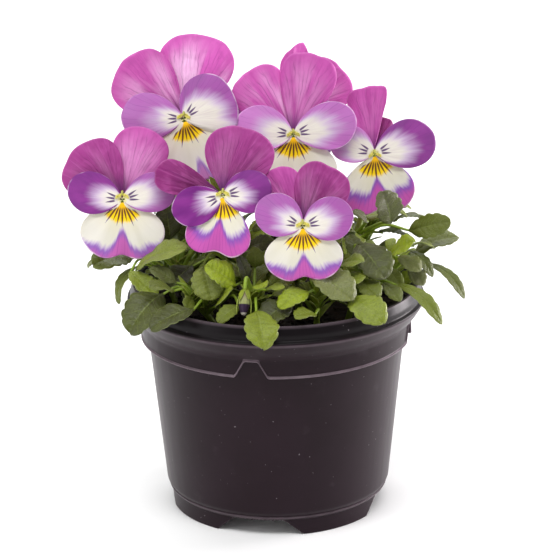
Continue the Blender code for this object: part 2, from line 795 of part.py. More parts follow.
def shoot_path(name):
    """The main stem of a shoot, with a bloom's stalk where it carries one, and its radii."""
    if name in LEAFY_SHOOTS:
        root, top = LEAFY_SHOOTS[name]
        points = [root_point(root, -ROOT_DEPTH), root_point(root, ROOT_RISE), top]
        path = smooth_path(points, LEAFY_STEM_POINTS)
        return path, taper(STEM_RADIUS, STALK_RADIUS, len(path))
    bloom = next(b for b in BLOOMS if b.name + "_shoot" == name)
    seat = bloom_point(bloom, 0, SPUR_DROP, CALYX_FRONT - CALYX_DEPTH + STALK_RADIUS)
    points = [
        root_point(bloom.root, -ROOT_DEPTH), root_point(bloom.root, ROOT_RISE), bloom.knee,
        bloom.neck, seat,
    ]
    path = smooth_path(points, BLOOM_STEM_POINTS)
    return path, taper(STEM_RADIUS, STALK_RADIUS, len(path))


def stem_height(name):
    """The height up to which a shoot carries leaves."""
    if name in LEAFY_SHOOTS:
        return LEAFY_SHOOTS[name][1][2]
    return next(b for b in BLOOMS if b.name + "_shoot" == name).knee[2]


def point_at_height(path, height):
    for low, high in zip(path, path[1:]):
        if low.z <= height <= high.z:
            return low.lerp(high, (height - low.z) / max(high.z - low.z, 1e-6))
    return path[-1].copy()


def leaf_frame(leaf):
    """The leaf's direction, its left side, its upper face and its length."""
    base, tip = Vector(leaf.base), Vector(leaf.tip)
    along = (tip - base).normalized()
    face = Vector(FACE_UP_FRONT)
    if base.y > FRONT_LEAVES_END:
        face = Vector((base.x, base.y, FACE_UP_HEIGHT))
    face = (face - along * face.dot(along)).normalized()
    face.rotate(Matrix.Rotation(math.radians(leaf.roll), 3, along))
    return along, face.cross(along), face, (tip - base).length


def leaf_width(share):
    """Half the leaf's width over its largest, with rounded teeth along the edge."""
    if not 0 < share < 1:
        return 0.0
    width = math.sin(math.pi * share**LEAF_BELLY) ** LEAF_FULLNESS
    tooth = math.cos(2 * math.pi * (share - FIRST_DENT) / TOOTH_SPACING)
    return width * (1 - TOOTH_DEPTH * (0.5 + 0.5 * tooth))


def leaf_point(leaf, share, across):
    along, side, face, length = leaf_frame(leaf)
    half = leaf.width / 2 * leaf_width(share)
    rise = leaf.arch * length * 4 * share * (1 - share)
    cup = half * (LEAF_CUP * abs(across) - LEAF_CUP_ROUND * across * across)
    wave = LEAF_WAVE * leaf.width * math.sin(9 * share + 2 * across) * abs(across)
    place = Vector(leaf.base) + along * (length * share) + face * (rise + cup + wave)
    return place + side * (half * across)


def blade_rows(leaf):
    """The blade without its stalk, with a row at each tooth and each dent between teeth."""
    rows = [[leaf_point(leaf, 0.0, 0)]]
    for step in range(BLADE_ROWS):
        share = FIRST_DENT + step * TOOTH_SPACING / 2
        rows.append([leaf_point(leaf, share, across) for across in (-1, 0, 1)])
    return rows + [[leaf_point(leaf, 1.0, 0)]]


def petiole_path(leaf, path, top):
    """From the main stem, out and up, to the base of the blade."""
    base = Vector(leaf.base)
    along = leaf_frame(leaf)[0]
    height = min(max(base.z - 9, SOIL_TOP + 5), top - 1)
    start = point_at_height(path, height)
    reach = (base - start).length
    bend = start + Vector((0, 0, 0.35 * reach)) + (base - start) * 0.3
    entry = base - along * (0.25 * reach)
    return smooth_path([start, bend.lerp(entry, 0.5), base], PETIOLE_STEPS + 1)


def leaf_rows(leaf, path, top):
    """A whole leaf: its flat stalk from the stem, then the blade."""
    side = leaf_frame(leaf)[1]
    stalk = petiole_path(leaf, path, top)
    rows = []
    for index, place in enumerate(stalk):
        ahead = stalk[min(index + 1, PETIOLE_STEPS)] - stalk[max(index - 1, 0)]
        flat = (side - ahead * (side.dot(ahead) / ahead.length_squared)).normalized()
        rows.append([place - flat * PETIOLE_RADIUS, place + flat * PETIOLE_RADIUS])
    return rows + blade_rows(leaf)[1:]


def guard_shell(rows, offset):
    """A closed shell around a sheet, a little thicker than it, to test for contact."""
    points, faces = [], []
    flat = [point for row in rows for point in row]
    normals = sheet_normals(rows)
    for sign in (1, -1):
        points += [p + n * offset * sign for p, n in zip(flat, normals)]
    count, start = len(flat), 0
    for low, high in zip(rows, rows[1:]):
        other = start + len(low)
        for index in range(max(len(low), len(high)) - 1):
            a = start + min(index, len(low) - 1)
            b = start + min(index + 1, len(low) - 1)
            c = other + min(index + 1, len(high) - 1)
            d = other + min(index, len(high) - 1)
            for shift in (0, count):
                faces.append([a + shift, b + shift, c + shift])
                faces.append([a + shift, c + shift, d + shift])
        for a, b in ((start, other), (other - 1, other + len(high) - 1)):
            faces.append([a, b, b + count])
            faces.append([a, b + count, a + count])
        start = other
    return BVHTree.FromPolygons(points, faces)


def sheet_normals(rows):
    """The sheet's normal at each point, from its neighbours along and across the rows."""
    normals = []
    for number, row in enumerate(rows):
        before, after = rows[max(number - 1, 0)], rows[min(number + 1, len(rows) - 1)]
        for index in range(len(row)):
            share = index / max(len(row) - 1, 1)
            down = before[round(share * (len(before) - 1))]
            up = after[round(share * (len(after) - 1))]
            wide = row if len(row) > 1 else max(before, after, key=len)
            near = wide[max(round(share * (len(wide) - 1)) - 1, 0)]
            far = wide[min(round(share * (len(wide) - 1)) + 1, len(wide) - 1)]
            normals.append((up - down).cross(far - near).normalized())
    return normals


def guard_tube(path, radius):
    """A coarse tube around a path, to test for contact."""
    points, faces = [], []
    for index, place in enumerate(path):
        ahead = path[min(index + 1, len(path) - 1)] - path[max(index - 1, 0)]
        side = ahead.orthogonal().normalized()
        other = ahead.cross(side).normalized()
        for corner in range(4):
            angle = math.pi / 2 * corner
            points.append(place + (side * math.cos(angle) + other * math.sin(angle)) * radius)
        if index:
            for corner in range(4):
                after = (corner + 1) % 4
                a, b = 4 * index + corner, 4 * index + after
                faces.append([a - 4, b - 4, b])
                faces.append([a - 4, b, a])
    return BVHTree.FromPolygons(points, faces)


def guard_pot():
    """The rim of the pot and the top of the soil, to test for contact."""
    section = (
        (WALL, SOIL_TOP + SOIL_ROOM), (BAND_RADIUS - WALL, SOIL_TOP + SOIL_ROOM),
        (TOP_RADIUS - WALL - POT_ROOM, POT_HEIGHT + POT_ROOM),
        (TOP_RADIUS + POT_ROOM, POT_HEIGHT + POT_ROOM), (LIP_RADIUS + POT_ROOM, LIP_HEIGHT),
        (BAND_RADIUS + POT_ROOM, BAND_TOP), (BAND_RADIUS + POT_ROOM, BAND_BOTTOM),
    )
    angles = [math.radians(angle) for angle in range(0, 361, GUARD_POT_STEP)]
    rows = [
        [Vector((radius * math.cos(a), radius * math.sin(a), height)) for a in angles]
        for radius, height in section
    ]
    return guard_shell(rows, GAP / 6)


class Plant:
    """What already stands in the pot, and the leaves that found a free place in it."""

    def __init__(self):
        self.guards = [("pot", "pot", guard_pot())]
        self.paths = {}
        self.leaves = {}
        for bloom in BLOOMS:
            name = bloom.name + "_shoot"
            for petal, outline, layer in bloom_petals(bloom):
                rows = petal_rows(bloom, petal, outline, layer, *GUARD_PETAL_STEPS)
                self.guards.append((bloom.name, "petal", guard_shell(rows, PETAL_ROOM)))
            back = bloom_point(bloom, 0, -1, CALYX_FRONT - CALYX_DEPTH - SPUR_LENGTH)
            front = bloom_point(bloom, 0, 0, CALYX_FRONT)
            calyx = guard_tube([front, back], CALYX_RADIUS + CALYX_ROOM)
            self.guards.append((name, "calyx", calyx))
            self.add_stem(name)
        for name in LEAFY_SHOOTS:
            self.add_stem(name)
        bud = [Vector(BUD_TOP) + Vector(BUD_CROOK), Vector(BUD_TOP), Vector(BUD_TIP)]
        self.guards.append((BUD_SHOOT, "bud", guard_tube(bud, BUD_RADIUS + BUD_ROOM)))

    def add_stem(self, name):
        self.paths[name] = shoot_path(name)[0]
        guard = guard_tube(self.paths[name], STEM_RADIUS + STEM_ROOM)
        self.guards.append((name, "stem", guard))
        self.leaves[name] = []

    def free_guards(self, name, leaf):
        """The leaf's blade and stalk as guards if they touch nothing, or else None."""
        stalk = petiole_path(leaf, self.paths[name], stem_height(name))
        blade = guard_shell(blade_rows(leaf), LEAF_THICKNESS / 2 + LEAF_ROOM)
        petiole = guard_tube(stalk, PETIOLE_RADIUS + PETIOLE_ROOM)
        for owner, kind, guard in self.guards:
            if blade.overlap(guard):
                return None
            own_joint = owner == name and kind in ("stem", "petiole")
            if not own_joint and petiole.overlap(guard):
                return None
        return blade, petiole

    def settle(self, name, leaf, tries=SETTLE_TRIES):
        """Place the leaf where it is free, after small shifts and turns if need be."""
        for attempt in range(tries):
            reach = SETTLE_STEP * math.sqrt(attempt)
            angle = math.radians(SETTLE_TURN * attempt)
            turns = Vector((math.cos(angle), math.sin(angle), math.cos(angle)))
            shift = turns * Vector(SETTLE_SHIFT) * reach
            trial = leaf._replace(
                base=Vector(leaf.base) + shift,
                tip=Vector(leaf.tip) + shift * SETTLE_TIP,
                roll=leaf.roll + (attempt % 5 - 2) * SETTLE_ROLL * reach,
                width=leaf.width * (1 - SETTLE_SHRINK * attempt),
            )
            guards = self.free_guards(name, trial)
            if guards:
                self.guards.append((name, "blade", guards[0]))
                self.guards.append((name, "petiole", guards[1]))
                self.leaves[name].append(trial)
                return True
        return False


def spray_leaf(shoot_top, path, heading, draw):
    """A leaf of the sides or back, which leaves its stem in the heading and arches over."""
    start = point_at_height(path, draw.uniform(SOIL_TOP + SPRAY_LOW, shoot_top))
    angle = math.radians(heading)
    out = Vector((math.cos(angle), math.sin(angle), 0))
    length = draw.uniform(*SPRAY_LENGTH)
    base = start + out * draw.uniform(*SPRAY_REACH) + Vector((0, 0, draw.uniform(*SPRAY_RISE)))
    slope = Vector((0, 0, draw.uniform(*SPRAY_SLOPE)))
    tip = base + (out + slope).normalized() * length
    width = length * draw.uniform(*SPRAY_WIDTH)
    return Leaf(base, tip, width, draw.uniform(*SPRAY_ROLL), SPRAY_ARCH)


def grow_plant():
    """All the leaves, each on its shoot: those of the front by hand, the others by their spray."""
    plant = Plant()
    for name, leaves in SHOOT_LEAVES.items():
        for leaf in leaves:
            plant.settle(name, leaf)
    draw = random.Random(SPRAY_SEED)
    for name, spray in SPRAYS.items():
        for index in range(spray.count):
            share = (index + 0.5) / spray.count - 0.5
            for _ in range(SPRAY_DRAWS):
                stray = draw.uniform(-SPRAY_STRAY, SPRAY_STRAY)
                heading = spray.heading + spray.spread * share + stray
                leaf = spray_leaf(stem_height(name), plant.paths[name], heading, draw)
                if plant.settle(name, leaf, tries=SPRAY_TRIES):
                    break
    return plant


def make_shoot(name, plant, parts):
    path, radii = shoot_path(name)
    pieces = [tube("stem", path, radii, parts)]
    bloom = next((b for b in BLOOMS if b.name + "_shoot" == name), None)
    if bloom:
        pieces += make_calyx(bloom, parts)
    if name == BUD_SHOOT:
        pieces += make_bud(path, parts)
    for leaf in plant.leaves[name]:
        rows = leaf_rows(leaf, path, stem_height(name))
        pieces.append(sheet("leaf", rows, LEAF_THICKNESS, parts))
    return fuse(name, pieces, "shoot", parts)


def make_bud(path, collection):
    top, tip = Vector(BUD_TOP), Vector(BUD_TIP)
    start = point_at_height(path, SOIL_TOP + 10)
    crook = top + Vector(BUD_CROOK)
    rise = start.lerp(crook, 0.6) + Vector((0, 0, BUD_RADIUS))
    stalk = smooth_path([start, rise, crook, top], BUD_STALK_POINTS)
    half = (tip - top).length / 2
    body = ball("bud", top.lerp(tip, 0.45), tip - top, BUD_RADIUS, half, collection)
    return [tube("bud_stalk", stalk, [PETIOLE_RADIUS] * len(stalk), collection), body]


def clear_scene():
    for thing in list(bpy.data.objects):
        bpy.data.objects.remove(thing)


def main():
    """Build everything about the pot's axis, then set the axis at its place in the frame."""
    clear_scene()
    parts = collection_for("potted_horned_violet")
    cutters = collection_for("cutters")
    plant = grow_plant()
    for bloom in BLOOMS:
        make_petals(bloom, parts)
    for name in plant.paths:
        make_shoot(name, plant, parts)
    make_soil(parts, cutters, plant.paths)
    make_pot(parts, cutters)
    for thing in bpy.data.objects:
        thing.location = Vector((*POT_AXIS, 0)) * MM


main()
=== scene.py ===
"""Looks of the potted horned violet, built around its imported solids."""

import json
import math
import random
from collections import namedtuple

import bmesh
import bpy
import numpy as np
from mathutils import Matrix, Vector, noise
from mathutils.bvhtree import BVHTree

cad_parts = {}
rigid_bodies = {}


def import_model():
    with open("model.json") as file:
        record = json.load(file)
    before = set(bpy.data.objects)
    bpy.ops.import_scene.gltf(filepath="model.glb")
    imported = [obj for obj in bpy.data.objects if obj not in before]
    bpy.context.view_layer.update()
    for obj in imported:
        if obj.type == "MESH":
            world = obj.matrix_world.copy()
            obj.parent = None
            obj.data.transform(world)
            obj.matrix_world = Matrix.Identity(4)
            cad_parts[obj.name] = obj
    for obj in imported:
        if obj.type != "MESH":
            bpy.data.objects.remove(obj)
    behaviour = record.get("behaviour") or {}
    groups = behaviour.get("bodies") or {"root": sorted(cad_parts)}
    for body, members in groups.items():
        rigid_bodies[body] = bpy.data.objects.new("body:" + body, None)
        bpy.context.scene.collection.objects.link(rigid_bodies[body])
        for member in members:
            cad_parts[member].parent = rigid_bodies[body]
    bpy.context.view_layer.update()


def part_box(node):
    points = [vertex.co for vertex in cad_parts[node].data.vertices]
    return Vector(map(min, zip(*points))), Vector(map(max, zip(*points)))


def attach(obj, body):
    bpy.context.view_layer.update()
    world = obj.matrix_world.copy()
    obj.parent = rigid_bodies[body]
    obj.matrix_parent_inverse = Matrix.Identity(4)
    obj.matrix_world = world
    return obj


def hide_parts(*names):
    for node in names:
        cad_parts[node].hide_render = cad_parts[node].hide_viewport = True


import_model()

# Sizes are in millimetres about the pot's axis, and MM turns them into metres. Angles are in degrees.
MM = 0.001
GAP = 0.3
POT_LOW, POT_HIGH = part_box("pot")
POT_AXIS = (POT_LOW + POT_HIGH) / 2
POT_AXIS.z = 0

# The photograph's view: straight from the front, from a little above.
IMAGE_SIZE = 560
FOCAL_PIXELS = 3117
SENSOR = 36
CAMERA_TARGET = (1.5, 0.0, 81.6)
CAMERA_DISTANCE = 1100
CAMERA_ELEVATION = 18.8
CAMERA_ROLL = -0.65

# The pot is a thin shell: a swelling collar with a lip, a shoulder band below it, a tapered body
# and a foot ring under its raised floor.
POT_COLUMNS = 480
POT_FILLET = 0.7
BEAD = 0.45
BEAD_HEIGHT = 1.0
WALL = 1.3
POT_HEIGHT = 82.0
TOP_RADIUS = 50.4
RIM_ROUND = 0.5
COLLAR_SWELL = 1.0
COLLAR_SWELL_TOP = 79.0
COLLAR_SWELL_LOW = 77.1
COLLAR_LOW = 72.1
LIP_RADIUS = 52.5
LIP_HEIGHT = 76.0
LIP_HALF = 0.45
BAND_RADIUS = 47.5
BAND_TOP = 68.6
BAND_BOTTOM = 62.0
BODY_TOP_RADIUS = 45.3
BODY_LOW_RADIUS = 39.7
BODY_LOW = 9.0
SEAM_RADIUS = 38.6
SEAM_HEIGHT = 6.4
SEAM_STEP = 0.5
FOOT_RADIUS = 37.9
FLOOR_LOW = 6.4
QUARTERS = 4

# Each notch in the band widens downward and stops flush with the body below.
NOTCH_ANGLE = -10.6
NOTCH_LOW_WIDTH = 11.5
NOTCH_TOP_WIDTH = 4.8
NOTCH_TOP = 68.0

# Each gap in the foot ring is a sloped arch, and the floor inside it has drain holes.
FOOT_GAP_LOW_WIDTH = 31.0
FOOT_GAP_TOP_WIDTH = 17.7
FOOT_GAP_HEIGHT = 6.0
FLASH = 0.45
DRAIN_COUNT = 6
DRAIN_RADIUS = 3.0
DRAIN_RING = 24.0

# The soil fills the pot to just below the collar, with a lumpy top and loose crumbs.
SOIL_TOP = 72.0
SOIL_LUMP = 0.9
SOIL_LUMP_SIZES = (11.0, 4.5)
SOIL_LEVEL_EDGE = (38.0, 46.0)
SOIL_FLARE = 1.2
SOIL_CELL = 0.8
SOIL_SIDES = 200
CRUMBS = 520
CRUMB_SEED = 3
ROOT_DEPTH = 5.0
ROOT_RISE = 1.0

# Sizes of the green tubes, and the half thickness of the fine blades.
STEM_RADIUS = 1.45
STALK_RADIUS = 0.85
PETIOLE_RADIUS = 0.62
PETAL_HALF = 0.16
LEAF_HALF = 0.24
SCALE_HALF = 0.18
LEAF_THICKNESS = 0.8

# Layers of a bloom, measured forward from its throat. Sides lie over the lip and the uppers.
SIDE_LAYERS = (-0.1, 0.3)
LIP_LAYER = -1.4
UPPER_FRONT_LAYER = -3.0
UPPER_BACK_LAYER = -4.4
CALYX_FRONT = -5.4
CALYX_DEPTH = 3.4
CALYX_RADIUS = 2.4
SEPAL_LENGTH = 8.5
SEPAL_WIDTH = 2.8
SEPAL_HEADINGS = (52, 128, 196, 270, 344)
SPUR_LENGTH = 6.5
SPUR_RADIUS = 1.2
SPUR_DROP = 0.8

# A leaf's edge has rounded teeth, and its blade is cupped, arched and slightly waved.
BLADE_ROWS = 7
PETIOLE_STEPS = 3
PETIOLE_DROP = 9
PETIOLE_LOW = 5
FIRST_DENT = 0.11
TOOTH_SPACING = 0.26
TOOTH_DEPTH = 0.20
LEAF_FULLNESS = 0.5
LEAF_BELLY = 0.9
LEAF_CUP = 0.30
LEAF_CUP_ROUND = 0.12
LEAF_WAVE = 0.05
FACE_UP_FRONT = (0, -0.45, 0.9)
FACE_UP_HEIGHT = 60.0
FRONT_LEAVES_END = 5.0
BLOOM_STEM_POINTS = 8
LEAFY_STEM_POINTS = 5

# The fine blade has its own lobes, widest past its middle. Grids are in rows and columns.
FINE_MIDDLE = 0.54
FINE_SPACING = 0.19
FINE_DEPTH = 0.17
FINE_BROAD = 1.1
LEAF_GRID = (44, 13)
YOUNG_GRID = (24, 9)
SCALE_GRID = (12, 7)
STEM_STEPS = 48
STIPULE_GROUPS = 5

# A petal's outline is a fan: how fast its reach drops from the middle to the sides.
Outline = namedtuple("Outline", "power falloff lean ruffle waves")
UPPER = Outline(power=3.0, falloff=0.40, lean=0.13, ruffle=0.030, waves=2.0)
SIDE = Outline(power=2.0, falloff=1.10, lean=0.07, ruffle=0.018, waves=1.5)
LIP = Outline(power=4.5, falloff=0.60, lean=0.05, ruffle=0.028, waves=2.5)
FAN_LIMIT = 0.96
LIP_NOTCH = 0.11
LIP_NOTCH_SPREAD = 11.0
FOLD_REACH = (0.25, 0.7)
PETAL_ROWS = 26
PETAL_COLUMNS = 61

# The outline and layer of each petal of a bloom: two uppers, two sides and the lip.
PETAL_KINDS = (
    (UPPER, UPPER_FRONT_LAYER), (UPPER, UPPER_BACK_LAYER),
    (SIDE, SIDE_LAYERS[0]), (SIDE, SIDE_LAYERS[1]), (LIP, LIP_LAYER),
)

# The polar layer holds the angle within a petal and its distance from the throat, scaled to 0..1.
# A petal's back is painted as it is from PLAIN_BACK outward, where the throat's markings end.
POLAR_ANGLE = 360.0
POLAR_RADIUS = 40.0
PLAIN_BACK = 13

# A petal points in a direction seen from the front, counted from the bloom's right side upward.
# Its color is deep to a share, pale in streaks of painted sheen to another, and violet from a start
# outward.
# The rest shapes only the fine petal: swing turns it, trim shortens it, wide widens its fan, full
# rounds out its shoulders, square fills them on its right side, and point narrows it to a tip.
Petal = namedtuple(
    "Petal",
    "direction length spread fold deep pale start bias swing trim wide full square point",
    defaults=(0.0, 0.5, 0.3, 0.5, 0.0, 0.0, 0.0, 1.0, 0.0, 0.0, 0.0),
)

# A bloom's throat is a point, turn faces it to its left or right, and nod tips its face upward.
# Its petals are in the order of PETAL_KINDS, and its stem runs from root over knee to neck.
Bloom = namedtuple("Bloom", "name throat turn nod petals root knee neck")
BLOOMS = (
    Bloom(
        "bloom_top_left", (-31.4, 6.0, 139.4), -4, 18,
        (
            Petal(143, 30.8, 40, deep=0.36, pale=0.5, swing=-4, trim=0.03),
            Petal(81, 30.4, 44, deep=0.0, pale=1.0, swing=-1),
            Petal(173, 22.5, 60, start=0.43, bias=-0.2, swing=4),
            Petal(41, 19.2, 80, deep=0.7, start=0.6, bias=0.85, square=0.5),
            Petal(-70, 22.5, 80, deep=0.6, start=1.25, bias=0.6, trim=-0.14),
        ),
        root=(-15, 11), knee=(-20, 14, 100), neck=(-32, 23, 138),
    ),
    Bloom(
        "bloom_left", (-52.6, -14.0, 116.3), -3, 17,
        (
            Petal(131, 25.4, 48, deep=0.72, pale=0.1, swing=5, trim=0.04),
            Petal(69, 25.6, 38, deep=0.3, pale=0.35, swing=3),
            Petal(168, 19.4, 62, deep=0.95, start=0.47, bias=-0.15),
            Petal(14, 19.0, 60, deep=0.65, start=0.61, bias=0.1),
            Petal(-91, 21.3, 70, deep=0.85, start=0.85, bias=0.32, full=0.18),
        ),
        root=(-24, -6), knee=(-37, -4, 93), neck=(-53, 2, 114.5),
    ),
    Bloom(
        "bloom_middle_left", (-17.6, -28.0, 121.8), -4, 20,
        (
            Petal(75, 24.6, 50, deep=0.78, pale=0.1, swing=-4),
            Petal(160, 25.4, 22, fold=0.2, deep=1.0, pale=0.0),
            Petal(201, 19.6, 60, deep=1.0, start=0.41, bias=-0.1, trim=0.06),
            Petal(9, 15.8, 74, deep=0.95, start=0.48, bias=0.35, trim=-0.06),
            Petal(-97, 21.4, 58, deep=0.95, start=0.68, bias=0.3, wide=0.92, full=-0.05),
        ),
        root=(-9, -11), knee=(-13, -13, 96), neck=(-18, -11, 120.5),
    ),
    Bloom(
        "bloom_front", (9.4, -35.0, 112.7), 2, 19,
        (
            Petal(66, 22.2, 42, deep=0.86, pale=0.15, swing=-4, trim=-0.03),
            Petal(120, 22.2, 42, deep=0.45, swing=4),
            Petal(154, 17.2, 72, deep=0.6, start=0.49, bias=-0.2),
            Petal(16, 17.9, 70, deep=0.65, start=0.59, bias=0.15, swing=-2),
            Petal(-89, 19.4, 72, deep=0.9, start=0.8, bias=0.26, full=0.08),
        ),
        root=(8, -15), knee=(8, -18, 92), neck=(9, -18, 111.5),
    ),
    Bloom(
        "bloom_top_middle", (6.7, 3.0, 134.1), 3, 18,
        (
            Petal(75, 30.0, 38, deep=0.32, swing=-2, trim=0.02, wide=0.86),
            Petal(128, 28.3, 36, deep=0.2, pale=0.6, swing=-4, trim=0.04),
            Petal(167, 20.6, 64, deep=0.2, start=0.56, bias=-0.2),
            Petal(17, 22.6, 60, deep=0.4, start=0.62, bias=0.1, swing=-5),
            Petal(-90, 22.8, 70, deep=0.6, start=1.05, bias=0.1, full=0.1),
        ),
        root=(2, 3), knee=(5, 8, 98), neck=(7, 18.5, 132),
    ),
    Bloom(
        "bloom_right", (35.1, 8.0, 125.3), 8, 18,
        (
            Petal(95, 23.6, 24, fold=0.35, deep=0.35, pale=0.1, square=0.9),
            Petal(66, 14.0, 30, fold=0.3, deep=1.0, pale=0.0),
            Petal(155, 16.4, 66, deep=0.25, start=0.66, bias=-0.1),
            Petal(20, 22.8, 62, deep=0.9, start=0.55, bias=0.15, swing=-7),
            Petal(-86, 22.0, 66, deep=0.95, start=0.68, bias=0.25, wide=0.95),
        ),
        root=(20, 4), knee=(29, 9, 96), neck=(36, 24, 124),
    ),
    Bloom(
        "bloom_back", (8.0, 28.0, 135.4), 6, 16,
        (
            Petal(38, 23.0, 44, deep=0.34, pale=0.4),
            Petal(96, 24.5, 26, fold=0.3, deep=0.2, swing=-7, point=0.25),
            Petal(176, 21.6, 50, deep=0.8, start=0.45),
            Petal(8, 19.0, 60, deep=0.6, start=0.45, swing=-10, trim=0.3),
            Petal(-92, 20.5, 68, deep=0.8, start=0.8, bias=0.2),
        ),
        root=(6, 18), knee=(8, 27, 98), neck=(8, 43, 134),
    ),
)

# How far up each eye sits from the throat, its knob's path, and its hairs.
EYE_RISE = {
    "bloom_top_left": 1.1, "bloom_left": 1.6, "bloom_top_middle": 0.5, "bloom_right": -0.1,
}
EYE_RISE_USUAL = 0.9
KNOB = ((1.2, -0.4), (1.1, 0.4), (0.7, 0.9), (0.3, 1.0), (0.0, 0.8))
KNOB_STEPS = 9
EYE_HAIRS = 75
HAIR_FRONT = 0.45
HAIR_RADIUS = 0.18

# A leaf runs from the base of its blade to its tip, and roll turns it about its midrib. Its tone
# goes from dark to bright, and gray from fresh green to a gray bloom. Broad and turn widen and
# turn the fine blade, which keeps the place that the plain blade found.
Leaf = namedtuple(
    "Leaf", "base tip width roll arch tone gray broad turn",
    defaults=(0, 0.10, 0.5, 0.2, 1.0, 0.0),
)

# The leaves that show from the front, by the shoot that carries them.
SHOOT_LEAVES = {
    "bloom_left_shoot": (
        Leaf((-47, -17, 94), (-29, -24, 104), 8.5, -20, tone=0.72, gray=0.5, broad=1.3, turn=25),
        Leaf((-49, -19, 94), (-39, -28, 89), 8, tone=0.7),
        Leaf((-48, -8, 90), (-55, -13, 78), 5, 30, 0.2, tone=0.4),
    ),
    "bloom_middle_left_shoot": (
        Leaf((-25, -26, 96), (-22, -34, 86), 11, tone=0.6, gray=0.5),
        Leaf((-14, -29, 90), (-24, -31, 98), 7.5, 20, tone=0.95, gray=0, broad=1.25, turn=-35),
        Leaf((-29, -15, 92), (-37, -23, 86), 9, tone=0.05),
    ),
    "bloom_front_shoot": (
        Leaf((20, -24, 99), (25, -30, 110), 8, tone=0.6, gray=0.4),
        Leaf((22, -26, 95), (30, -33, 99), 6.5, tone=0.6, gray=0.3),
    ),
    "bloom_right_shoot": (
        Leaf((40, -12, 106), (37, -13, 118), 10, tone=0.1, gray=0.6),
        Leaf((32, -5, 104), (27, -8, 109), 4.5, tone=0.5, gray=0.7),
        Leaf((47, -5, 101), (61, -10, 106), 8, 50, tone=0.5, gray=0.4),
    ),
    "leafy_shoot_front_left": (
        Leaf((-39, -30, 87), (-50, -41, 77), 13, arch=0.16, tone=0.15),
        Leaf((-27, -37, 86.5), (-41, -45, 83), 11, tone=0.12),
        Leaf((-13, -39, 84), (-20, -47, 80), 6.5, tone=0.5),
    ),
    "leafy_shoot_front": (
        Leaf((-7, -43, 85), (-5, -55, 76), 11.5, arch=0.16, tone=0.7),
        Leaf((-10, -27, 90), (-13, -27, 100), 5, 10, tone=0.0),
        Leaf((-7, -22, 94), (-7, -24, 102), 5.5, tone=0.35),
        Leaf((-3, -35, 90), (3, -39, 92), 3.5, tone=0.8),
    ),
    "leafy_shoot_front_right": (
        Leaf((12, -30, 95), (26, -42, 88), 12, tone=0.45, gray=0.8),
        Leaf((11, -35, 89), (1, -43, 86), 7.5, tone=0.9, gray=0),
        Leaf((6, -36, 87), (-4, -45, 83), 10.5, tone=0.08),
        Leaf((13, -41, 82), (6, -50, 84), 6, tone=0.6),
    ),
    "leafy_shoot_right_front": (
        Leaf((28, -21, 100), (37, -33, 91), 13.5, tone=0.12),
        Leaf((29, -26, 90), (35, -36, 87), 7.5, tone=0.4),
        Leaf((36, -20, 85), (41, -28, 81), 6.5, tone=0.3),
        Leaf((26, -36, 87), (37, -48, 83), 11, arch=0.14, tone=0.68),
        Leaf((42, -20, 86), (57, -30, 75), 7, arch=0.2, tone=0.5, broad=0.75),
    ),
    "leafy_shoot_right": (
        Leaf((40, -16, 95), (48, -21, 102), 8.5, tone=0.85, gray=0),
        Leaf((43, -11, 93), (50, -17, 90), 6.5, tone=0.6, gray=1.0),
        Leaf((47, -9, 89), (51, -15, 84), 6, tone=0.3, gray=0.9),
        Leaf((40, -14, 90), (44, -19, 85), 5.5, 40, tone=0.6, gray=0.6),
        Leaf((54, -3, 88), (66, -9, 77), 7.5, arch=0.2, tone=0.3, gray=0.3, broad=0.55),
        Leaf((46, -6, 94), (55, -11, 86), 4.5, arch=0.2, tone=0.5),
    ),
}

# Shoots with no bloom: where each leaves the soil, and its top.
LEAFY_SHOOTS = {
    "leafy_shoot_front_left": ((-22, -20), (-29, -27, 84)),
    "leafy_shoot_front": ((-5, -25), (-8, -30, 84)),
    "leafy_shoot_front_right": ((14, -27), (14, -30, 86)),
    "leafy_shoot_right_front": ((25, -19), (29, -22, 88)),
    "leafy_shoot_right": ((33, -5), (40, -7, 88)),
    "leafy_shoot_back_right": ((27, 20), (34, 25, 92)),
    "leafy_shoot_back_left": ((-27, 19), (-33, 24, 90)),
    "leafy_shoot_left": ((-36, 4), (-42, 5, 88)),
}

# The leaves at the sides and back follow a rule: how many a shoot has, and the way they face.
Spray = namedtuple("Spray", "count heading spread")
SPRAYS = {
    "bloom_top_left_shoot": Spray(3, 125, 70),
    "bloom_top_middle_shoot": Spray(2, 60, 60),
    "bloom_back_shoot": Spray(3, 85, 90),
    "leafy_shoot_back_right": Spray(5, 45, 110),
    "leafy_shoot_back_left": Spray(5, 140, 120),
    "leafy_shoot_left": Spray(4, 185, 90),
    "leafy_shoot_right": Spray(1, 15, 10),
    "bloom_right_shoot": Spray(1, 50, 60),
}
SPRAY_SEED = 11
SPRAY_STRAY = 12
SPRAY_LOW = 9
SPRAY_REACH = (6, 12)
SPRAY_RISE = (5, 9)
SPRAY_SLOPE = (-0.35, 0.35)
SPRAY_LENGTH = (12, 17)
SPRAY_WIDTH = (0.62, 0.8)
SPRAY_ROLL = (-15, 15)
SPRAY_ARCH = 0.12

# Dark leaves behind the petals, and young leaves between the shoots, which the solids leave out.
BEHIND_LEAVES = {
    "bloom_left_shoot": (
        Leaf((-37, -2, 98), (-38.5, -4, 112), 9.5, tone=0.06),
        Leaf((-31, -1, 97), (-32, -3, 109), 9, tone=0.12),
    ),
    "bloom_middle_left_shoot": (Leaf((-15, -7, 96), (-15, -9, 108), 8, tone=0.15),),
}
YOUNG_SEED = 5
YOUNG_LEAVES = 24
YOUNG_TRIES = 4
YOUNG_LOW = 4
YOUNG_LENGTH = (6, 12)
YOUNG_REACH = (2, 9)

# A tuft of narrow leaves ends each shoot that has no bloom.
STAR_LEAVES = 10
STAR_LENGTH = (6, 10)

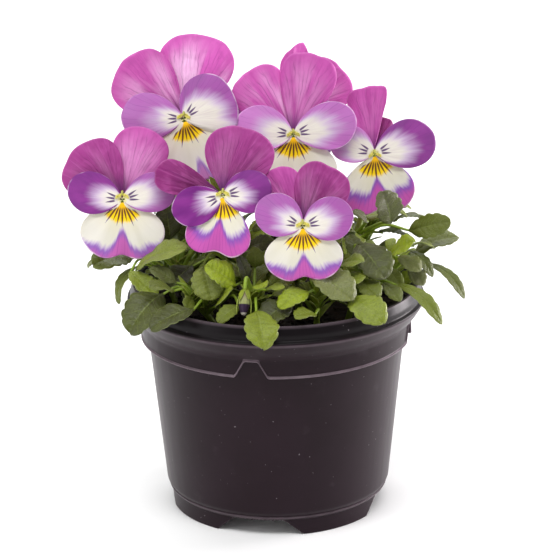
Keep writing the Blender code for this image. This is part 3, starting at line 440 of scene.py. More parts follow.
# One shoot has a closed bud that hangs from a bent stalk. Each sepal has a heading around it and
# a reach along it.
BUD_SHOOT = "leafy_shoot_front"
BUD_TOP = (-10.5, -38.0, 91.0)
BUD_TIP = (-11.0, -42.0, 83.5)
BUD_CROOK = (0.5, 2.5, 3.5)
BUD_RADIUS = 2.0
BUD_RINGS = 12
BUD_SIDES = 16
BUD_SEPALS = ((8, 0.97), (172, 0.97), (235, 0.45), (305, 0.4), (90, 0.8))

# A leaf that touches something is shifted along a widening spiral until it is free.
SETTLE_TRIES = 60
SPRAY_DRAWS = 6
SPRAY_TRIES = 8
SETTLE_STEP = 0.7
SETTLE_TURN = 137.5
SETTLE_SHIFT = (0.35, 1.0, 0.6)
SETTLE_TIP = 1.3
SETTLE_ROLL = 2
SETTLE_SHRINK = 0.004

# The room that is kept around each thing while the leaves are placed.
PETAL_ROOM = 0.8
STEM_ROOM = 0.8
CALYX_ROOM = 0.7
BUD_ROOM = 0.8
PETIOLE_ROOM = 0.8
LEAF_ROOM = 0.45
POT_ROOM = 0.9
SOIL_ROOM = 2.0
GUARD_PETAL_STEPS = (8, 3)
GUARD_POT_STEP = 10


def mix(start, end, share):
    return start + (end - start) * share


def smooth_step(low, high, value):
    """From 0 at low to 1 at high, or back down where low is the larger."""
    share = min(max((value - low) / (high - low), 0.0), 1.0)
    return share * share * (3 - 2 * share)


def smooth_path(points, count):
    """Catmull-Rom curve through the points, sampled evenly between its first and last."""
    points = [Vector(p) for p in points]
    ends = [points[0] * 2 - points[1]] + points + [points[-1] * 2 - points[-2]]
    path = []
    for step in range(count):
        place = step * (len(points) - 1) / (count - 1)
        index = min(int(place), len(points) - 2)
        share = place - index
        a, b, c, d = ends[index : index + 4]
        even = b + (c - a) * (share / 2)
        square = (a - b * 2.5 + c * 2 - d * 0.5) * share**2
        cube = ((b - c) * 1.5 + (d - a) * 0.5) * share**3
        path.append(even + square + cube)
    return path


def taper(start, end, count):
    return [mix(start, end, step / (count - 1)) for step in range(count)]


def around(angle, rise=0.0):
    """The direction at an angle in radians, seen from above."""
    return Vector((math.cos(angle), math.sin(angle), rise))


# Blooms


def bloom_frame(bloom):
    """The bloom's right, up and forward directions, and its throat."""
    turn, nod = math.radians(bloom.turn), math.radians(bloom.nod)
    right = around(turn)
    forward = Vector((math.sin(turn), -math.cos(turn), 0)) * math.cos(nod)
    forward.z = math.sin(nod)
    return right, forward.cross(right), forward, Vector(bloom.throat)


def bloom_point(bloom, x, y, z):
    right, up, forward, throat = bloom_frame(bloom)
    return throat + right * x + up * y + forward * z


def petal_point(petal, outline, layer, across, reach):
    """A point of a petal, from -1 to 1 across its fan and from 0 at the throat to 1 at its edge."""
    fan = across * FAN_LIMIT
    angle = fan * petal.spread
    length = petal.length * (1 - abs(fan) ** outline.power) ** outline.falloff
    if outline is LIP:
        length *= 1 - LIP_NOTCH * math.exp(-((angle / LIP_NOTCH_SPREAD) ** 2))
    radius = length * reach
    share = radius / petal.length
    heading = math.radians(petal.direction + angle)
    depth = layer - outline.lean * petal.length * share * share
    wave = math.sin(math.pi * outline.waves * across + petal.direction)
    depth += outline.ruffle * petal.length * wave * reach**3
    aside = abs(math.sin(math.radians(angle))) * radius
    depth -= petal.fold * aside * smooth_step(*FOLD_REACH, share)
    return radius * math.cos(heading), radius * math.sin(heading), depth


def petal_rows(bloom, petal, outline, layer, fan_steps, reach_steps):
    rows = [[bloom_point(bloom, 0, 0, layer)]]
    for ring in range(1, reach_steps + 1):
        places = [
            petal_point(petal, outline, layer, 2 * step / fan_steps - 1, ring / reach_steps)
            for step in range(fan_steps + 1)
        ]
        rows.append([bloom_point(bloom, *place) for place in places])
    return rows


# Where the shoots and leaves stand


def bloom_of(name):
    """The bloom that a shoot carries, or None."""
    return next((b for b in BLOOMS if b.name + "_shoot" == name), None)


def shoot_points(name):
    """The points that a shoot's main stem runs through, and how many its solid has."""
    bloom = bloom_of(name)
    if bloom:
        seat = bloom_point(bloom, 0, SPUR_DROP, CALYX_FRONT - CALYX_DEPTH + STALK_RADIUS)
        root, ends, count = bloom.root, [bloom.knee, bloom.neck, seat], BLOOM_STEM_POINTS
    else:
        root, top = LEAFY_SHOOTS[name]
        ends, count = [top], LEAFY_STEM_POINTS
    low = [Vector((*root, SOIL_TOP + height)) for height in (-ROOT_DEPTH, ROOT_RISE)]
    return low + ends, count


def stem_height(name):
    """The height up to which a shoot carries leaves."""
    bloom = bloom_of(name)
    return bloom.knee[2] if bloom else LEAFY_SHOOTS[name][1][2]


def point_at_height(path, height):
    for low, high in zip(path, path[1:]):
        if low.z <= height <= high.z:
            return low.lerp(high, (height - low.z) / max(high.z - low.z, 1e-6))
    return path[-1].copy()


def leaf_frame(leaf):
    """The leaf's direction, its left side, its upper face and its length."""
    base, tip = Vector(leaf.base), Vector(leaf.tip)
    along = (tip - base).normalized()
    face = Vector(FACE_UP_FRONT)
    if base.y > FRONT_LEAVES_END:
        face = Vector((base.x, base.y, FACE_UP_HEIGHT))
    face = (face - along * face.dot(along)).normalized()
    face.rotate(Matrix.Rotation(math.radians(leaf.roll), 3, along))
    return along, face.cross(along), face, (tip - base).length


def leaf_width(share):
    """Half the leaf's width over its largest, with rounded teeth along the edge."""
    if not 0 < share < 1:
        return 0.0
    width = math.sin(math.pi * share**LEAF_BELLY) ** LEAF_FULLNESS
    tooth = math.cos(2 * math.pi * (share - FIRST_DENT) / TOOTH_SPACING)
    return width * (1 - TOOTH_DEPTH * (0.5 + 0.5 * tooth))


def leaf_lift(leaf, share, across, half, length):
    """How far a blade that is half wide rises above the line from its base to its tip."""
    rise = leaf.arch * length * 4 * share * (1 - share)
    cup = half * (LEAF_CUP * abs(across) - LEAF_CUP_ROUND * across * across)
    wave = LEAF_WAVE * leaf.width * math.sin(9 * share + 2 * across) * abs(across)
    return rise + cup + wave


def leaf_point(leaf, share, across):
    along, side, face, length = leaf_frame(leaf)
    half = leaf.width / 2 * leaf_width(share)
    lift = leaf_lift(leaf, share, across, half, length)
    place = Vector(leaf.base) + along * (length * share) + face * lift
    return place + side * (half * across)


def blade_rows(leaf):
    """The blade without its stalk, with a row at each tooth and each dent between teeth."""
    rows = [[leaf_point(leaf, 0.0, 0)]]
    for step in range(BLADE_ROWS):
        share = FIRST_DENT + step * TOOTH_SPACING / 2
        rows.append([leaf_point(leaf, share, across) for across in (-1, 0, 1)])
    return rows + [[leaf_point(leaf, 1.0, 0)]]


def petiole_path(leaf, path, top, steps=PETIOLE_STEPS):
    """From the main stem, out and up, to the base of the blade."""
    base = Vector(leaf.base)
    along = leaf_frame(leaf)[0]
    height = min(max(base.z - PETIOLE_DROP, SOIL_TOP + PETIOLE_LOW), top - 1)
    start = point_at_height(path, height)
    reach = (base - start).length
    bend = start + Vector((0, 0, 0.35 * reach)) + (base - start) * 0.3
    entry = base - along * (0.25 * reach)
    return smooth_path([start, bend.lerp(entry, 0.5), base], steps + 1)


def guard_shell(rows, offset):
    """A closed shell around a sheet, a little thicker than it, to test for contact."""
    points, faces = [], []
    flat = [point for row in rows for point in row]
    normals = sheet_normals(rows)
    for sign in (1, -1):
        points += [p + n * offset * sign for p, n in zip(flat, normals)]
    count, start = len(flat), 0
    for low, high in zip(rows, rows[1:]):
        other = start + len(low)
        for index in range(max(len(low), len(high)) - 1):
            a = start + min(index, len(low) - 1)
            b = start + min(index + 1, len(low) - 1)
            c = other + min(index + 1, len(high) - 1)
            d = other + min(index, len(high) - 1)
            for shift in (0, count):
                faces += [[a + shift, b + shift, c + shift], [a + shift, c + shift, d + shift]]
        for a, b in ((start, other), (other - 1, other + len(high) - 1)):
            faces += [[a, b, b + count], [a, b + count, a + count]]
        start = other
    return BVHTree.FromPolygons(points, faces)


def sheet_normals(rows):
    """The sheet's normal at each point, from its neighbours along and across the rows."""
    normals = []
    for number, row in enumerate(rows):
        before, after = rows[max(number - 1, 0)], rows[min(number + 1, len(rows) - 1)]
        for index in range(len(row)):
            share = index / max(len(row) - 1, 1)
            down = before[round(share * (len(before) - 1))]
            up = after[round(share * (len(after) - 1))]
            wide = row if len(row) > 1 else max(before, after, key=len)
            near = wide[max(round(share * (len(wide) - 1)) - 1, 0)]
            far = wide[min(round(share * (len(wide) - 1)) + 1, len(wide) - 1)]
            normals.append((up - down).cross(far - near).normalized())
    return normals


def guard_tube(path, radius):
    """A coarse tube around a path, to test for contact."""
    points, faces = [], []
    for index, place in enumerate(path):
        ahead = path[min(index + 1, len(path) - 1)] - path[max(index - 1, 0)]
        side = ahead.orthogonal().normalized()
        other = ahead.cross(side).normalized()
        for corner in range(4):
            angle = math.pi / 2 * corner
            points.append(place + (side * math.cos(angle) + other * math.sin(angle)) * radius)
            if index:
                a, b = 4 * index + corner, 4 * index + (corner + 1) % 4
                faces += [[a - 4, b - 4, b], [a - 4, b, a]]
    return BVHTree.FromPolygons(points, faces)


def guard_pot():
    """The rim of the pot and the top of the soil, to test for contact."""
    section = (
        (WALL, SOIL_TOP + SOIL_ROOM), (BAND_RADIUS - WALL, SOIL_TOP + SOIL_ROOM),
        (TOP_RADIUS - WALL - POT_ROOM, POT_HEIGHT + POT_ROOM),
        (TOP_RADIUS + POT_ROOM, POT_HEIGHT + POT_ROOM), (LIP_RADIUS + POT_ROOM, LIP_HEIGHT),
        (BAND_RADIUS + POT_ROOM, BAND_TOP), (BAND_RADIUS + POT_ROOM, BAND_BOTTOM),
    )
    angles = [math.radians(angle) for angle in range(0, 361, GUARD_POT_STEP)]
    rows = [
        [Vector((radius * math.cos(a), radius * math.sin(a), height)) for a in angles]
        for radius, height in section
    ]
    return guard_shell(rows, GAP / 6)


class Plant:
    """What already stands in the pot, and the leaves that found a free place in it."""

    def __init__(self):
        self.guards = [("pot", "pot", guard_pot())]
        self.paths = {}
        self.leaves = {}
        for bloom in BLOOMS:
            name = bloom.name + "_shoot"
            for petal, kind in zip(bloom.petals, PETAL_KINDS):
                rows = petal_rows(bloom, petal, *kind, *GUARD_PETAL_STEPS)
                self.guards.append((bloom.name, "petal", guard_shell(rows, PETAL_ROOM)))
            back = bloom_point(bloom, 0, -1, CALYX_FRONT - CALYX_DEPTH - SPUR_LENGTH)
            front = bloom_point(bloom, 0, 0, CALYX_FRONT)
            calyx = guard_tube([front, back], CALYX_RADIUS + CALYX_ROOM)
            self.guards.append((name, "calyx", calyx))
            self.add_stem(name)
        for name in LEAFY_SHOOTS:
            self.add_stem(name)
        bud = [Vector(BUD_TOP) + Vector(BUD_CROOK), Vector(BUD_TOP), Vector(BUD_TIP)]
        self.guards.append((BUD_SHOOT, "bud", guard_tube(bud, BUD_RADIUS + BUD_ROOM)))

    def add_stem(self, name):
        self.paths[name] = smooth_path(*shoot_points(name))
        guard = guard_tube(self.paths[name], STEM_RADIUS + STEM_ROOM)
        self.guards.append((name, "stem", guard))
        self.leaves[name] = []

    def free_guards(self, name, leaf):
        """The leaf's blade and stalk as guards if they touch nothing, or else None."""
        stalk = petiole_path(leaf, self.paths[name], stem_height(name))
        blade = guard_shell(blade_rows(leaf), LEAF_THICKNESS / 2 + LEAF_ROOM)
        petiole = guard_tube(stalk, PETIOLE_RADIUS + PETIOLE_ROOM)
        for owner, kind, guard in self.guards:
            own_joint = owner == name and kind in ("stem", "petiole")
            if blade.overlap(guard) or (not own_joint and petiole.overlap(guard)):
                return None
        return blade, petiole

    def settle(self, name, leaf, tries=SETTLE_TRIES):
        """Place the leaf where it is free, after small shifts and turns if need be."""
        for attempt in range(tries):
            reach = SETTLE_STEP * math.sqrt(attempt)
            angle = math.radians(SETTLE_TURN * attempt)
            shift = around(angle, math.cos(angle)) * Vector(SETTLE_SHIFT) * reach
            trial = leaf._replace(
                base=Vector(leaf.base) + shift,
                tip=Vector(leaf.tip) + shift * SETTLE_TIP,
                roll=leaf.roll + (attempt % 5 - 2) * SETTLE_ROLL * reach,
                width=leaf.width * (1 - SETTLE_SHRINK * attempt),
            )
            guards = self.free_guards(name, trial)
            if guards:
                self.guards += [(name, "blade", guards[0]), (name, "petiole", guards[1])]
                self.leaves[name].append(trial)
                return True
        return False

    def settle_all(self, table):
        for name, leaves in table.items():
            for leaf in leaves:
                self.settle(name, leaf)


def spray_leaf(shoot_top, path, heading, draw):
    """A leaf of the sides or back, which leaves its stem in the heading and arches over."""
    start = point_at_height(path, draw.uniform(SOIL_TOP + SPRAY_LOW, shoot_top))
    out = around(math.radians(heading))
    length = draw.uniform(*SPRAY_LENGTH)
    base = start + out * draw.uniform(*SPRAY_REACH) + Vector((0, 0, draw.uniform(*SPRAY_RISE)))
    slope = Vector((0, 0, draw.uniform(*SPRAY_SLOPE)))
    tip = base + (out + slope).normalized() * length
    width = length * draw.uniform(*SPRAY_WIDTH)
    return Leaf(base, tip, width, draw.uniform(*SPRAY_ROLL), SPRAY_ARCH)


def young_leaf(name, path, draw):
    """A small leaf near its stem, in any direction, that fills the middle of the plant."""
    start = point_at_height(path, draw.uniform(SOIL_TOP + YOUNG_LOW, stem_height(name)))
    out = around(draw.uniform(0, 2 * math.pi))
    length = draw.uniform(*YOUNG_LENGTH)
    base = start + out * draw.uniform(*YOUNG_REACH) + Vector((0, 0, draw.uniform(*YOUNG_REACH)))
    slope = Vector((0, 0, draw.uniform(-0.2, 1.2)))
    tip = base + (out + slope).normalized() * length
    width = length * draw.uniform(0.5, 0.8)
    tone, gray = draw.uniform(0.1, 0.9), draw.uniform(0, 0.5)
    return Leaf(base, tip, width, draw.uniform(-40, 40), draw.uniform(0.05, 0.2), tone, gray)


def grow_plant():
    """All the leaves, each on its shoot: listed in front, and by a seeded rule elsewhere."""
    plant = Plant()
    plant.settle_all(SHOOT_LEAVES)
    draw = random.Random(SPRAY_SEED)
    for name, spray in SPRAYS.items():
        for index in range(spray.count):
            share = (index + 0.5) / spray.count - 0.5
            for _ in range(SPRAY_DRAWS):
                stray = draw.uniform(-SPRAY_STRAY, SPRAY_STRAY)
                heading = spray.heading + spray.spread * share + stray
                leaf = spray_leaf(stem_height(name), plant.paths[name], heading, draw)
                if plant.settle(name, leaf, tries=SPRAY_TRIES):
                    break
    tones = random.Random(YOUNG_SEED)
    for name in SPRAYS:
        plant.leaves[name] = [
            leaf if leaf.tone != 0.5 else leaf._replace(
                tone=tones.uniform(0.1, 0.8), gray=tones.uniform(0, 0.6)
            )
            for leaf in plant.leaves[name]
        ]
    plant.settle_all(BEHIND_LEAVES)
    draw = random.Random(YOUNG_SEED)
    for name, path in plant.paths.items():
        for _ in range(YOUNG_LEAVES):
            plant.settle(name, young_leaf(name, path, draw), tries=YOUNG_TRIES)
    return plant


# Meshes


class Skin:
    """Closed shells gathered in one mesh, with a place on each and a tint for its paint."""

    def __init__(self):
        self.points, self.faces, self.places, self.polars, self.tints = [], [], [], [], []
        self.count = 0

    def add(self, points, faces, tint, places=None, polars=None):
        points = np.asarray(points, float).reshape(-1, 3)
        none = np.zeros((len(points), 2))
        self.points.append(points)
        self.faces += [[corner + self.count for corner in face] for face in faces]
        self.places.append(none if places is None else np.asarray(places, float).reshape(-1, 2))
        self.polars.append(none if polars is None else np.asarray(polars, float).reshape(-1, 2))
        self.tints.append(np.broadcast_to(np.asarray(tint, float), (len(points), 4)))
        self.count += len(points)

    def add_tube(self, path, radii, tint, sides=8, ridges=0.0, places=None):
        self.add(*tube_shell(path, radii, sides, ridges), tint, places)

    def add_sheet(self, points, half, tint, places, polars=None):
        """A thin closed blade, whose two faces have the same places."""
        self.add(*grid_shell(points, half), tint, np.tile(places.reshape(-1, 2), (2, 1)), polars)

    def finish(self, name, material, slot, *nodes):
        """The gathered mesh as a piece on the part's one body."""
        mesh = bpy.data.meshes.new(name)
        points = (np.concatenate(self.points) + np.array([POT_AXIS.x, POT_AXIS.y, 0]) / MM) * MM
        mesh.from_pydata(points.tolist(), [], self.faces)
        corners = np.zeros(len(mesh.loops), np.int32)
        mesh.loops.foreach_get("vertex_index", corners)
        for layer, values in (("place", self.places), ("polar", self.polars)):
            uv = mesh.uv_layers.new(name=layer)
            uv.data.foreach_set("uv", np.concatenate(values)[corners].astype(np.float32).ravel())
        tint = mesh.attributes.new("tint", "FLOAT_COLOR", "POINT")
        tint.data.foreach_set("color", np.concatenate(self.tints).astype(np.float32).ravel())
        mesh.materials.append(material)
        mesh.shade_smooth()
        piece = link_object(name, mesh)
        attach(piece, "root")
        if nodes:
            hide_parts(*nodes)
        return piece


def link_object(name, data):
    thing = bpy.data.objects.new(name, data)
    bpy.context.scene.collection.objects.link(thing)
    return thing


def cells(rows, columns):
    """Each point of a grid: its index, its share of the rows, and its place across, -1 to 1."""
    for row in range(rows):
        for column in range(columns):
            yield (row, column), row / (rows - 1), 2 * column / (columns - 1) - 1


def grid_shell(points, half):
    """Points and faces of a thin closed blade over a grid of points, half as thick each way."""
    rows, columns = points.shape[:2]
    normals = np.cross(np.gradient(points, axis=1), np.gradient(points, axis=0))
    normals /= np.linalg.norm(normals, axis=2, keepdims=True) + 1e-12
    offset = normals * np.broadcast_to(half, (rows, columns))[..., None]
    count = rows * columns
    top = np.arange(count).reshape(rows, columns)
    quads = np.stack([top[:-1, :-1], top[:-1, 1:], top[1:, 1:], top[1:, :-1]], axis=-1)
    quads = quads.reshape(-1, 4)
    edge = np.concatenate([top[0, :-1], top[:-1, -1], top[-1, :0:-1], top[:0:-1, 0]])
    ahead = np.roll(edge, -1)
    rims = np.stack([ahead, edge, edge + count, ahead + count], axis=-1)
    faces = np.concatenate([quads, quads[:, ::-1] + count, rims])
    both = np.concatenate([(points + offset).reshape(-1, 3), (points - offset).reshape(-1, 3)])
    return both, faces.tolist()


def ring_faces(rings, sides):
    """Faces over rings of points in a row, with two more points that close the start and end."""
    faces = []
    start, end = rings * sides, rings * sides + 1
    last = start - sides
    for corner in range(sides):
        after = (corner + 1) % sides
        for ring in range(0, last, sides):
            a, b = ring + corner, ring + after
            faces.append([a, b, b + sides, a + sides])
        faces += [[after, corner, start], [last + corner, last + after, end]]
    return faces


def tube_shell(path, radii, sides=8, ridges=0.0):
    """Points and faces of a closed tube, with four soft ridges where it is a ridged stem."""
    path = np.array([list(p) for p in path], float)
    ahead = np.gradient(path, axis=0)
    ahead /= np.linalg.norm(ahead, axis=1, keepdims=True) + 1e-12
    side = np.cross(ahead[0], [0.31, 0.17, 0.93])
    points = []
    for place, along, radius in zip(path, ahead, radii):
        side = side - along * side.dot(along)
        side /= np.linalg.norm(side)
        other = np.cross(along, side)
        for corner in range(sides):
            angle = 2 * math.pi * corner / sides
            reach = radius * (1 + ridges * math.cos(4 * angle))
            points.append(place + (side * math.cos(angle) + other * math.sin(angle)) * reach)
    points += [path[0] - ahead[0] * radii[0] * 0.4, path[-1] + ahead[-1] * radii[-1] * 0.4]
    return np.array(points), ring_faces(len(path), sides)


# Materials


def srgb(red, green, blue):
    """A color as shaders take it, from its usual 0 to 255 values."""
    values = [v / 255 for v in (red, green, blue)]
    return (*(v / 12.92 if v <= 0.04045 else ((v + 0.055) / 1.055) ** 2.4 for v in values), 1.0)


class Value:
    """A socket of a material's nodes, on which plain arithmetic adds math nodes."""

    def __init__(self, paint, socket):
        self.paint, self.socket = paint, socket

    def __add__(self, other):
        return self.paint.math("ADD", self, other)

    def __sub__(self, other):
        return self.paint.math("SUBTRACT", self, other)

    def __mul__(self, other):
        return self.paint.math("MULTIPLY", self, other)

    def __truediv__(self, other):
        return self.paint.math("DIVIDE", self, other)

    def __abs__(self):
        return self.paint.math("ABSOLUTE", self)

    def step(self, low, high):
        """Smoothly from 0 at low to 1 at high, or back down where low is the larger."""
        value, sign = (self, 1) if high > low else (self * -1, -1)
        inputs = {"Value": value, "From Min": low * sign, "From Max": high * sign}
        return self.paint.value("MapRange", inputs, interpolation_type="SMOOTHSTEP")


class Paint:
    """A material whose color is built up in coats, each over the last by a share."""

    def __init__(self, name, roughness, specular):
        self.material = bpy.data.materials.new(name)
        self.material.use_nodes = True
        self.tree = self.material.node_tree
        self.shader = self.tree.nodes["Principled BSDF"]
        self.put(roughness, self.shader.inputs["Roughness"])
        self.put(specular, self.shader.inputs["Specular IOR Level"])
        self.color = None

    def put(self, value, socket):
        if isinstance(value, Value):
            self.tree.links.new(value.socket, socket)
        else:
            socket.default_value = value

    def node(self, kind, inputs=(), **settings):
        made = self.tree.nodes.new("ShaderNode" + kind)
        for key, value in settings.items():
            setattr(made, key, value)
        for key, value in dict(inputs).items():
            self.put(value, made.inputs[key])
        return made

    def value(self, kind, inputs=(), output=0, **settings):
        return Value(self, self.node(kind, inputs, **settings).outputs[output])

    def math(self, operation, *values):
        return self.value("Math", dict(enumerate(values)), operation=operation)

    def blend(self, share, a, b):
        """The color a where the share is 0 and b where it is 1."""
        made = self.node("Mix", data_type="RGBA")
        for socket, value in zip([s for s in made.inputs if s.enabled], (share, a, b)):
            self.put(value, socket)
        return Value(self, next(s for s in made.outputs if s.enabled))

    def coat(self, share, color):
        self.color = self.blend(share, self.color, color)

    def uv(self, layer):
        split = self.node("SeparateXYZ", {0: self.value("UVMap", uv_map=layer)})
        return Value(self, split.outputs[0]), Value(self, split.outputs[1])

    def tint(self):
        """The four shares of the tint attribute."""
        attribute = self.node("Attribute", attribute_name="tint")
        split = self.node("SeparateColor", {0: Value(self, attribute.outputs["Color"])})
        return [Value(self, s) for s in (*split.outputs[:3], attribute.outputs["Alpha"])]

    def vector(self, x, y, z):
        return self.value("CombineXYZ", {0: x, 1: y, 2: z})

    def noise(self, vector, scale, detail):
        return self.value("TexNoise", {"Vector": vector, "Scale": scale, "Detail": detail})

    def place(self):
        """The point on the object, in metres."""
        return self.value("TexCoord", output="Object")

    def finish(self, bump, distance=0.0001, roughness=None):
        self.put(self.color, self.shader.inputs["Base Color"])
        if roughness is not None:
            self.put(roughness, self.shader.inputs["Roughness"])
        relief = self.value("Bump", {"Height": bump, "Distance": distance, "Strength": 0.6})
        self.put(relief, self.shader.inputs["Normal"])
        return self.material


class PetalPaint(Paint):
    """A petal's paint: angle in degrees from its middle, radius in mm from the throat."""

    def __init__(self, name):
        super().__init__(name, 0.6, 0.2)
        turn, radius = self.uv("polar")
        self.angle = (turn - 0.5) * POLAR_ANGLE
        self.radius = radius * POLAR_RADIUS
        self.across, self.reach = self.uv("place")
        self.shares = self.tint()
        self.seed = self.shares[3]

    def streaks(self, across, along, angle=None):
        """Soft noise drawn out along the radius, from 0 to 1."""
        turn = (angle or self.angle) * across
        return self.noise(self.vector(turn, self.radius * along, self.seed * 31), 1, 2)

    def veins(self, spacing, width, shift=0):
        """Fine dark lines that fan out from the throat, from 0 to 1."""
        angle = self.angle + shift
        turned = angle / spacing + self.streaks(0.05, 0.10, angle) * 1.6
        line = abs(self.math("FRACT", turned) - 0.5).step(width, 0)
        return line * self.streaks(0.21, 0.10, angle).step(0.32, 0.62)

    def nearest(self, angle, spacing):
        """In a fan of lines, the number of the nearest one and its distance in mm."""
        number = self.math("ROUND", angle / spacing)
        return number, abs(angle - number * spacing) * math.radians(1) * self.radius


def upper_paint():
    paint = PetalPaint("upper_petal")
    deep, pale = paint.shares[:2]
    radius, reach = paint.radius, paint.reach
    soft = paint.streaks(0.055, 0.03)
    blotch = paint.streaks(0.12, 0.25)
    fine = paint.streaks(0.5, 0.12)
    paint.color = paint.blend(deep, srgb(208, 94, 182), srgb(98, 18, 76))
    paint.coat(reach.step(0.35, 0.95) * 0.25, srgb(196, 68, 164))
    # Pale streaks toward the middle of an upper petal are a painted sheen of its velvet.
    paint.coat(soft.step(0.38, 0.60) * pale * reach.step(1.05, 0.6), srgb(242, 188, 230))
    paint.coat(blotch.step(0.45, 0.8) * 0.20, srgb(212, 104, 186))
    paint.coat(blotch.step(0.55, 0.25) * 0.20, srgb(130, 40, 116))
    paint.coat(fine.step(0.50, 0.7) * 0.14, srgb(216, 112, 192))
    outer = paint.veins(4, 0.10, shift=2) * radius.step(9, 14) * 0.75
    lines = paint.math("MAXIMUM", paint.veins(8, 0.07), outer) * reach.step(1.03, 0.75)
    paint.coat(lines * 0.42, srgb(96, 26, 90))
    paint.coat((radius + fine * 5).step(12.5, 3) * 0.85, srgb(86, 40, 104))
    paint.coat(reach.step(0.975, 0.992) * 0.15, srgb(236, 150, 215))
    return paint.finish(fine - lines * 0.4, 0.0004)


def side_paint():
    paint = PetalPaint("side_petal")
    deep, start, bias = paint.shares[:3]
    radius, reach = paint.radius, paint.reach
    fine = paint.streaks(0.3, 0.08)
    soft = paint.streaks(0.06, 0.08)
    slope = (paint.across - 0.5) * ((bias - 0.5) * 2)
    over = reach + slope + (fine - 0.5) * 0.16 + (soft - 0.5) * 0.34 - start
    violet = paint.blend(deep, srgb(218, 146, 216), srgb(108, 30, 116))
    violet = paint.blend(soft.step(0.3, 0.7) * 0.25, violet, srgb(184, 74, 176))
    paint.color = paint.blend(fine.step(0.2, 0.7), srgb(220, 211, 206), srgb(232, 227, 216))
    paint.coat(over.step(-0.20, 0.06) * 0.7, srgb(192, 160, 212))
    paint.coat(over.step(-0.10, 0.26), violet)
    paint.coat(paint.veins(6, 0.10) * over.step(-0.1, 0.2) * 0.3, srgb(98, 36, 126))
    paint.coat(reach.step(0.975, 0.992) * soft.step(0.42, 0.66) * 0.6, srgb(236, 214, 236))
    paint.coat((radius + fine * 0.8).step(2.4, 1.4) * 0.7, srgb(222, 214, 120))
    # Three short dark lines start at the eye.
    away = paint.angle - 4
    _, aside = paint.nearest(away, 17)
    line = (aside - radius.step(7, 3.4) * 0.36).step(0.06, -0.04) * radius.step(2.3, 3)
    line = line * abs(away).step(27, 20) * (radius + fine * 1.6).step(7.2, 6)
    paint.coat(line * 0.92, srgb(76, 36, 98))
    return paint.finish(fine)


def lip_paint():
    paint = PetalPaint("lip_petal")
    deep, start, bias = paint.shares[:3]
    radius, reach, middle = paint.radius, paint.reach, abs(paint.angle)
    fine = paint.streaks(0.4, 0.09)
    soft = paint.streaks(0.06, 0.05)
    wedge = middle.step(17, 0) * ((bias - 0.5) * 2)
    over = reach + wedge + (fine - 0.5) * 0.16 + middle.step(26, 62) * -0.30 - start
    band = paint.blend(over.step(0.04, 0.20), srgb(136, 76, 172), srgb(190, 78, 166))
    paint.color = paint.blend(soft.step(0.3, 0.7), srgb(214, 210, 196), srgb(223, 219, 209))
    paint.coat(radius.step(15, 7) * 0.2, srgb(240, 228, 160))
    paint.coat(over.step(-0.09, 0.02) * 0.75, srgb(168, 134, 198))
    paint.coat(over.step(-0.02, 0.06) * deep, band)
    paint.coat(paint.veins(4.2, 0.16) * over.step(0, 0.1) * 0.35, srgb(120, 40, 124))
    paint.coat(reach.step(0.972, 0.99) * soft.step(0.38, 0.62) * 0.7, srgb(242, 224, 236))
    edge = middle - radius.step(1.5, 6.5) * 24
    fan = (radius + fine * 2).step(9.8, 8.2) * edge.step(30, 22)
    gold = paint.blend(radius.step(7, 1.5), srgb(246, 208, 16), srgb(250, 192, 14))
    paint.coat(fan, gold)
    # Dark lines run down the yellow fan and past its end.
    number, aside = paint.nearest(paint.angle, 12)
    left = paint.math("SINE", number * 2.3 + paint.seed * 9) * 1.2 + 9.3 - radius
    thick = left.step(-0.5, 4) * radius.step(-1, 5) * 0.31
    line = (aside - thick).step(0.06, -0.04) * left.step(0, 0.6)
    line = line * radius.step(2, 3.8) * edge.step(30, 27)
    paint.coat(line * 0.92, paint.blend(fan, srgb(96, 62, 134), srgb(84, 30, 36)))
    return paint.finish(fine, 0.00005)


def leaf_paint():
    paint = Paint("leaf", 0.33, 0.36)
    across, along = paint.uv("place")
    tone, gray, under, seed = paint.tint()
    spot = paint.vector(across * 3, along * 5, seed * 43)
    soft, fine = paint.noise(spot, 0.8, 2), paint.noise(spot, 8, 4)
    middle = abs(across - 0.5)
    rib = middle.step(0.03, 0.008) * along.step(0.95, 0.4)
    slant = along - paint.math("POWER", middle, 1.4) * 0.75 + (soft - 0.5) * 0.14
    vein = abs(paint.math("FRACT", slant / 0.17) - 0.5).step(0.08, 0.01) * middle.step(0.48, 0.3)
    paint.color = paint.blend(tone, srgb(25, 26, 12), srgb(154, 172, 28))
    paint.coat(gray * 0.6, srgb(124, 122, 94))
    paint.coat(soft.step(0.4, 0.7) * 0.30, srgb(98, 110, 28))
    paint.coat(fine.step(0.6, 0.3) * 0.35, srgb(36, 38, 16))
    paint.coat(rib * 0.35, srgb(158, 172, 96))
    paint.coat(vein * 0.20, srgb(134, 148, 78))
    paint.coat(under * 0.5, srgb(140, 150, 108))
    paint.coat(middle.step(0.475, 0.497) * 0.35, srgb(150, 160, 96))
    return paint.finish(fine - vein * 0.35, 0.0004, fine * 0.16 + 0.26)


def stem_paint():
    paint = Paint("stem", 0.42, 0.4)
    tone, violet = paint.tint()[:2]
    rough = paint.noise(paint.place(), 900, 3)
    paint.color = paint.blend(tone, srgb(72, 84, 28), srgb(140, 168, 44))
    paint.coat(violet, srgb(116, 58, 92))
    paint.coat(rough.step(0.45, 0.7) * 0.25, srgb(160, 174, 86))
    return paint.finish(rough)


def soil_paint():
    paint = Paint("soil", 0.95, 0.2)
    place = paint.place()
    broad, fine = paint.noise(place, 220, 4), paint.noise(place, 1500, 4)
    paint.color = paint.blend(broad.step(0.35, 0.65), srgb(16, 12, 9), srgb(40, 30, 22))
    paint.coat(fine.step(0.55, 0.75) * 0.5, srgb(78, 60, 44))
    return paint.finish(broad + fine, 0.0006)


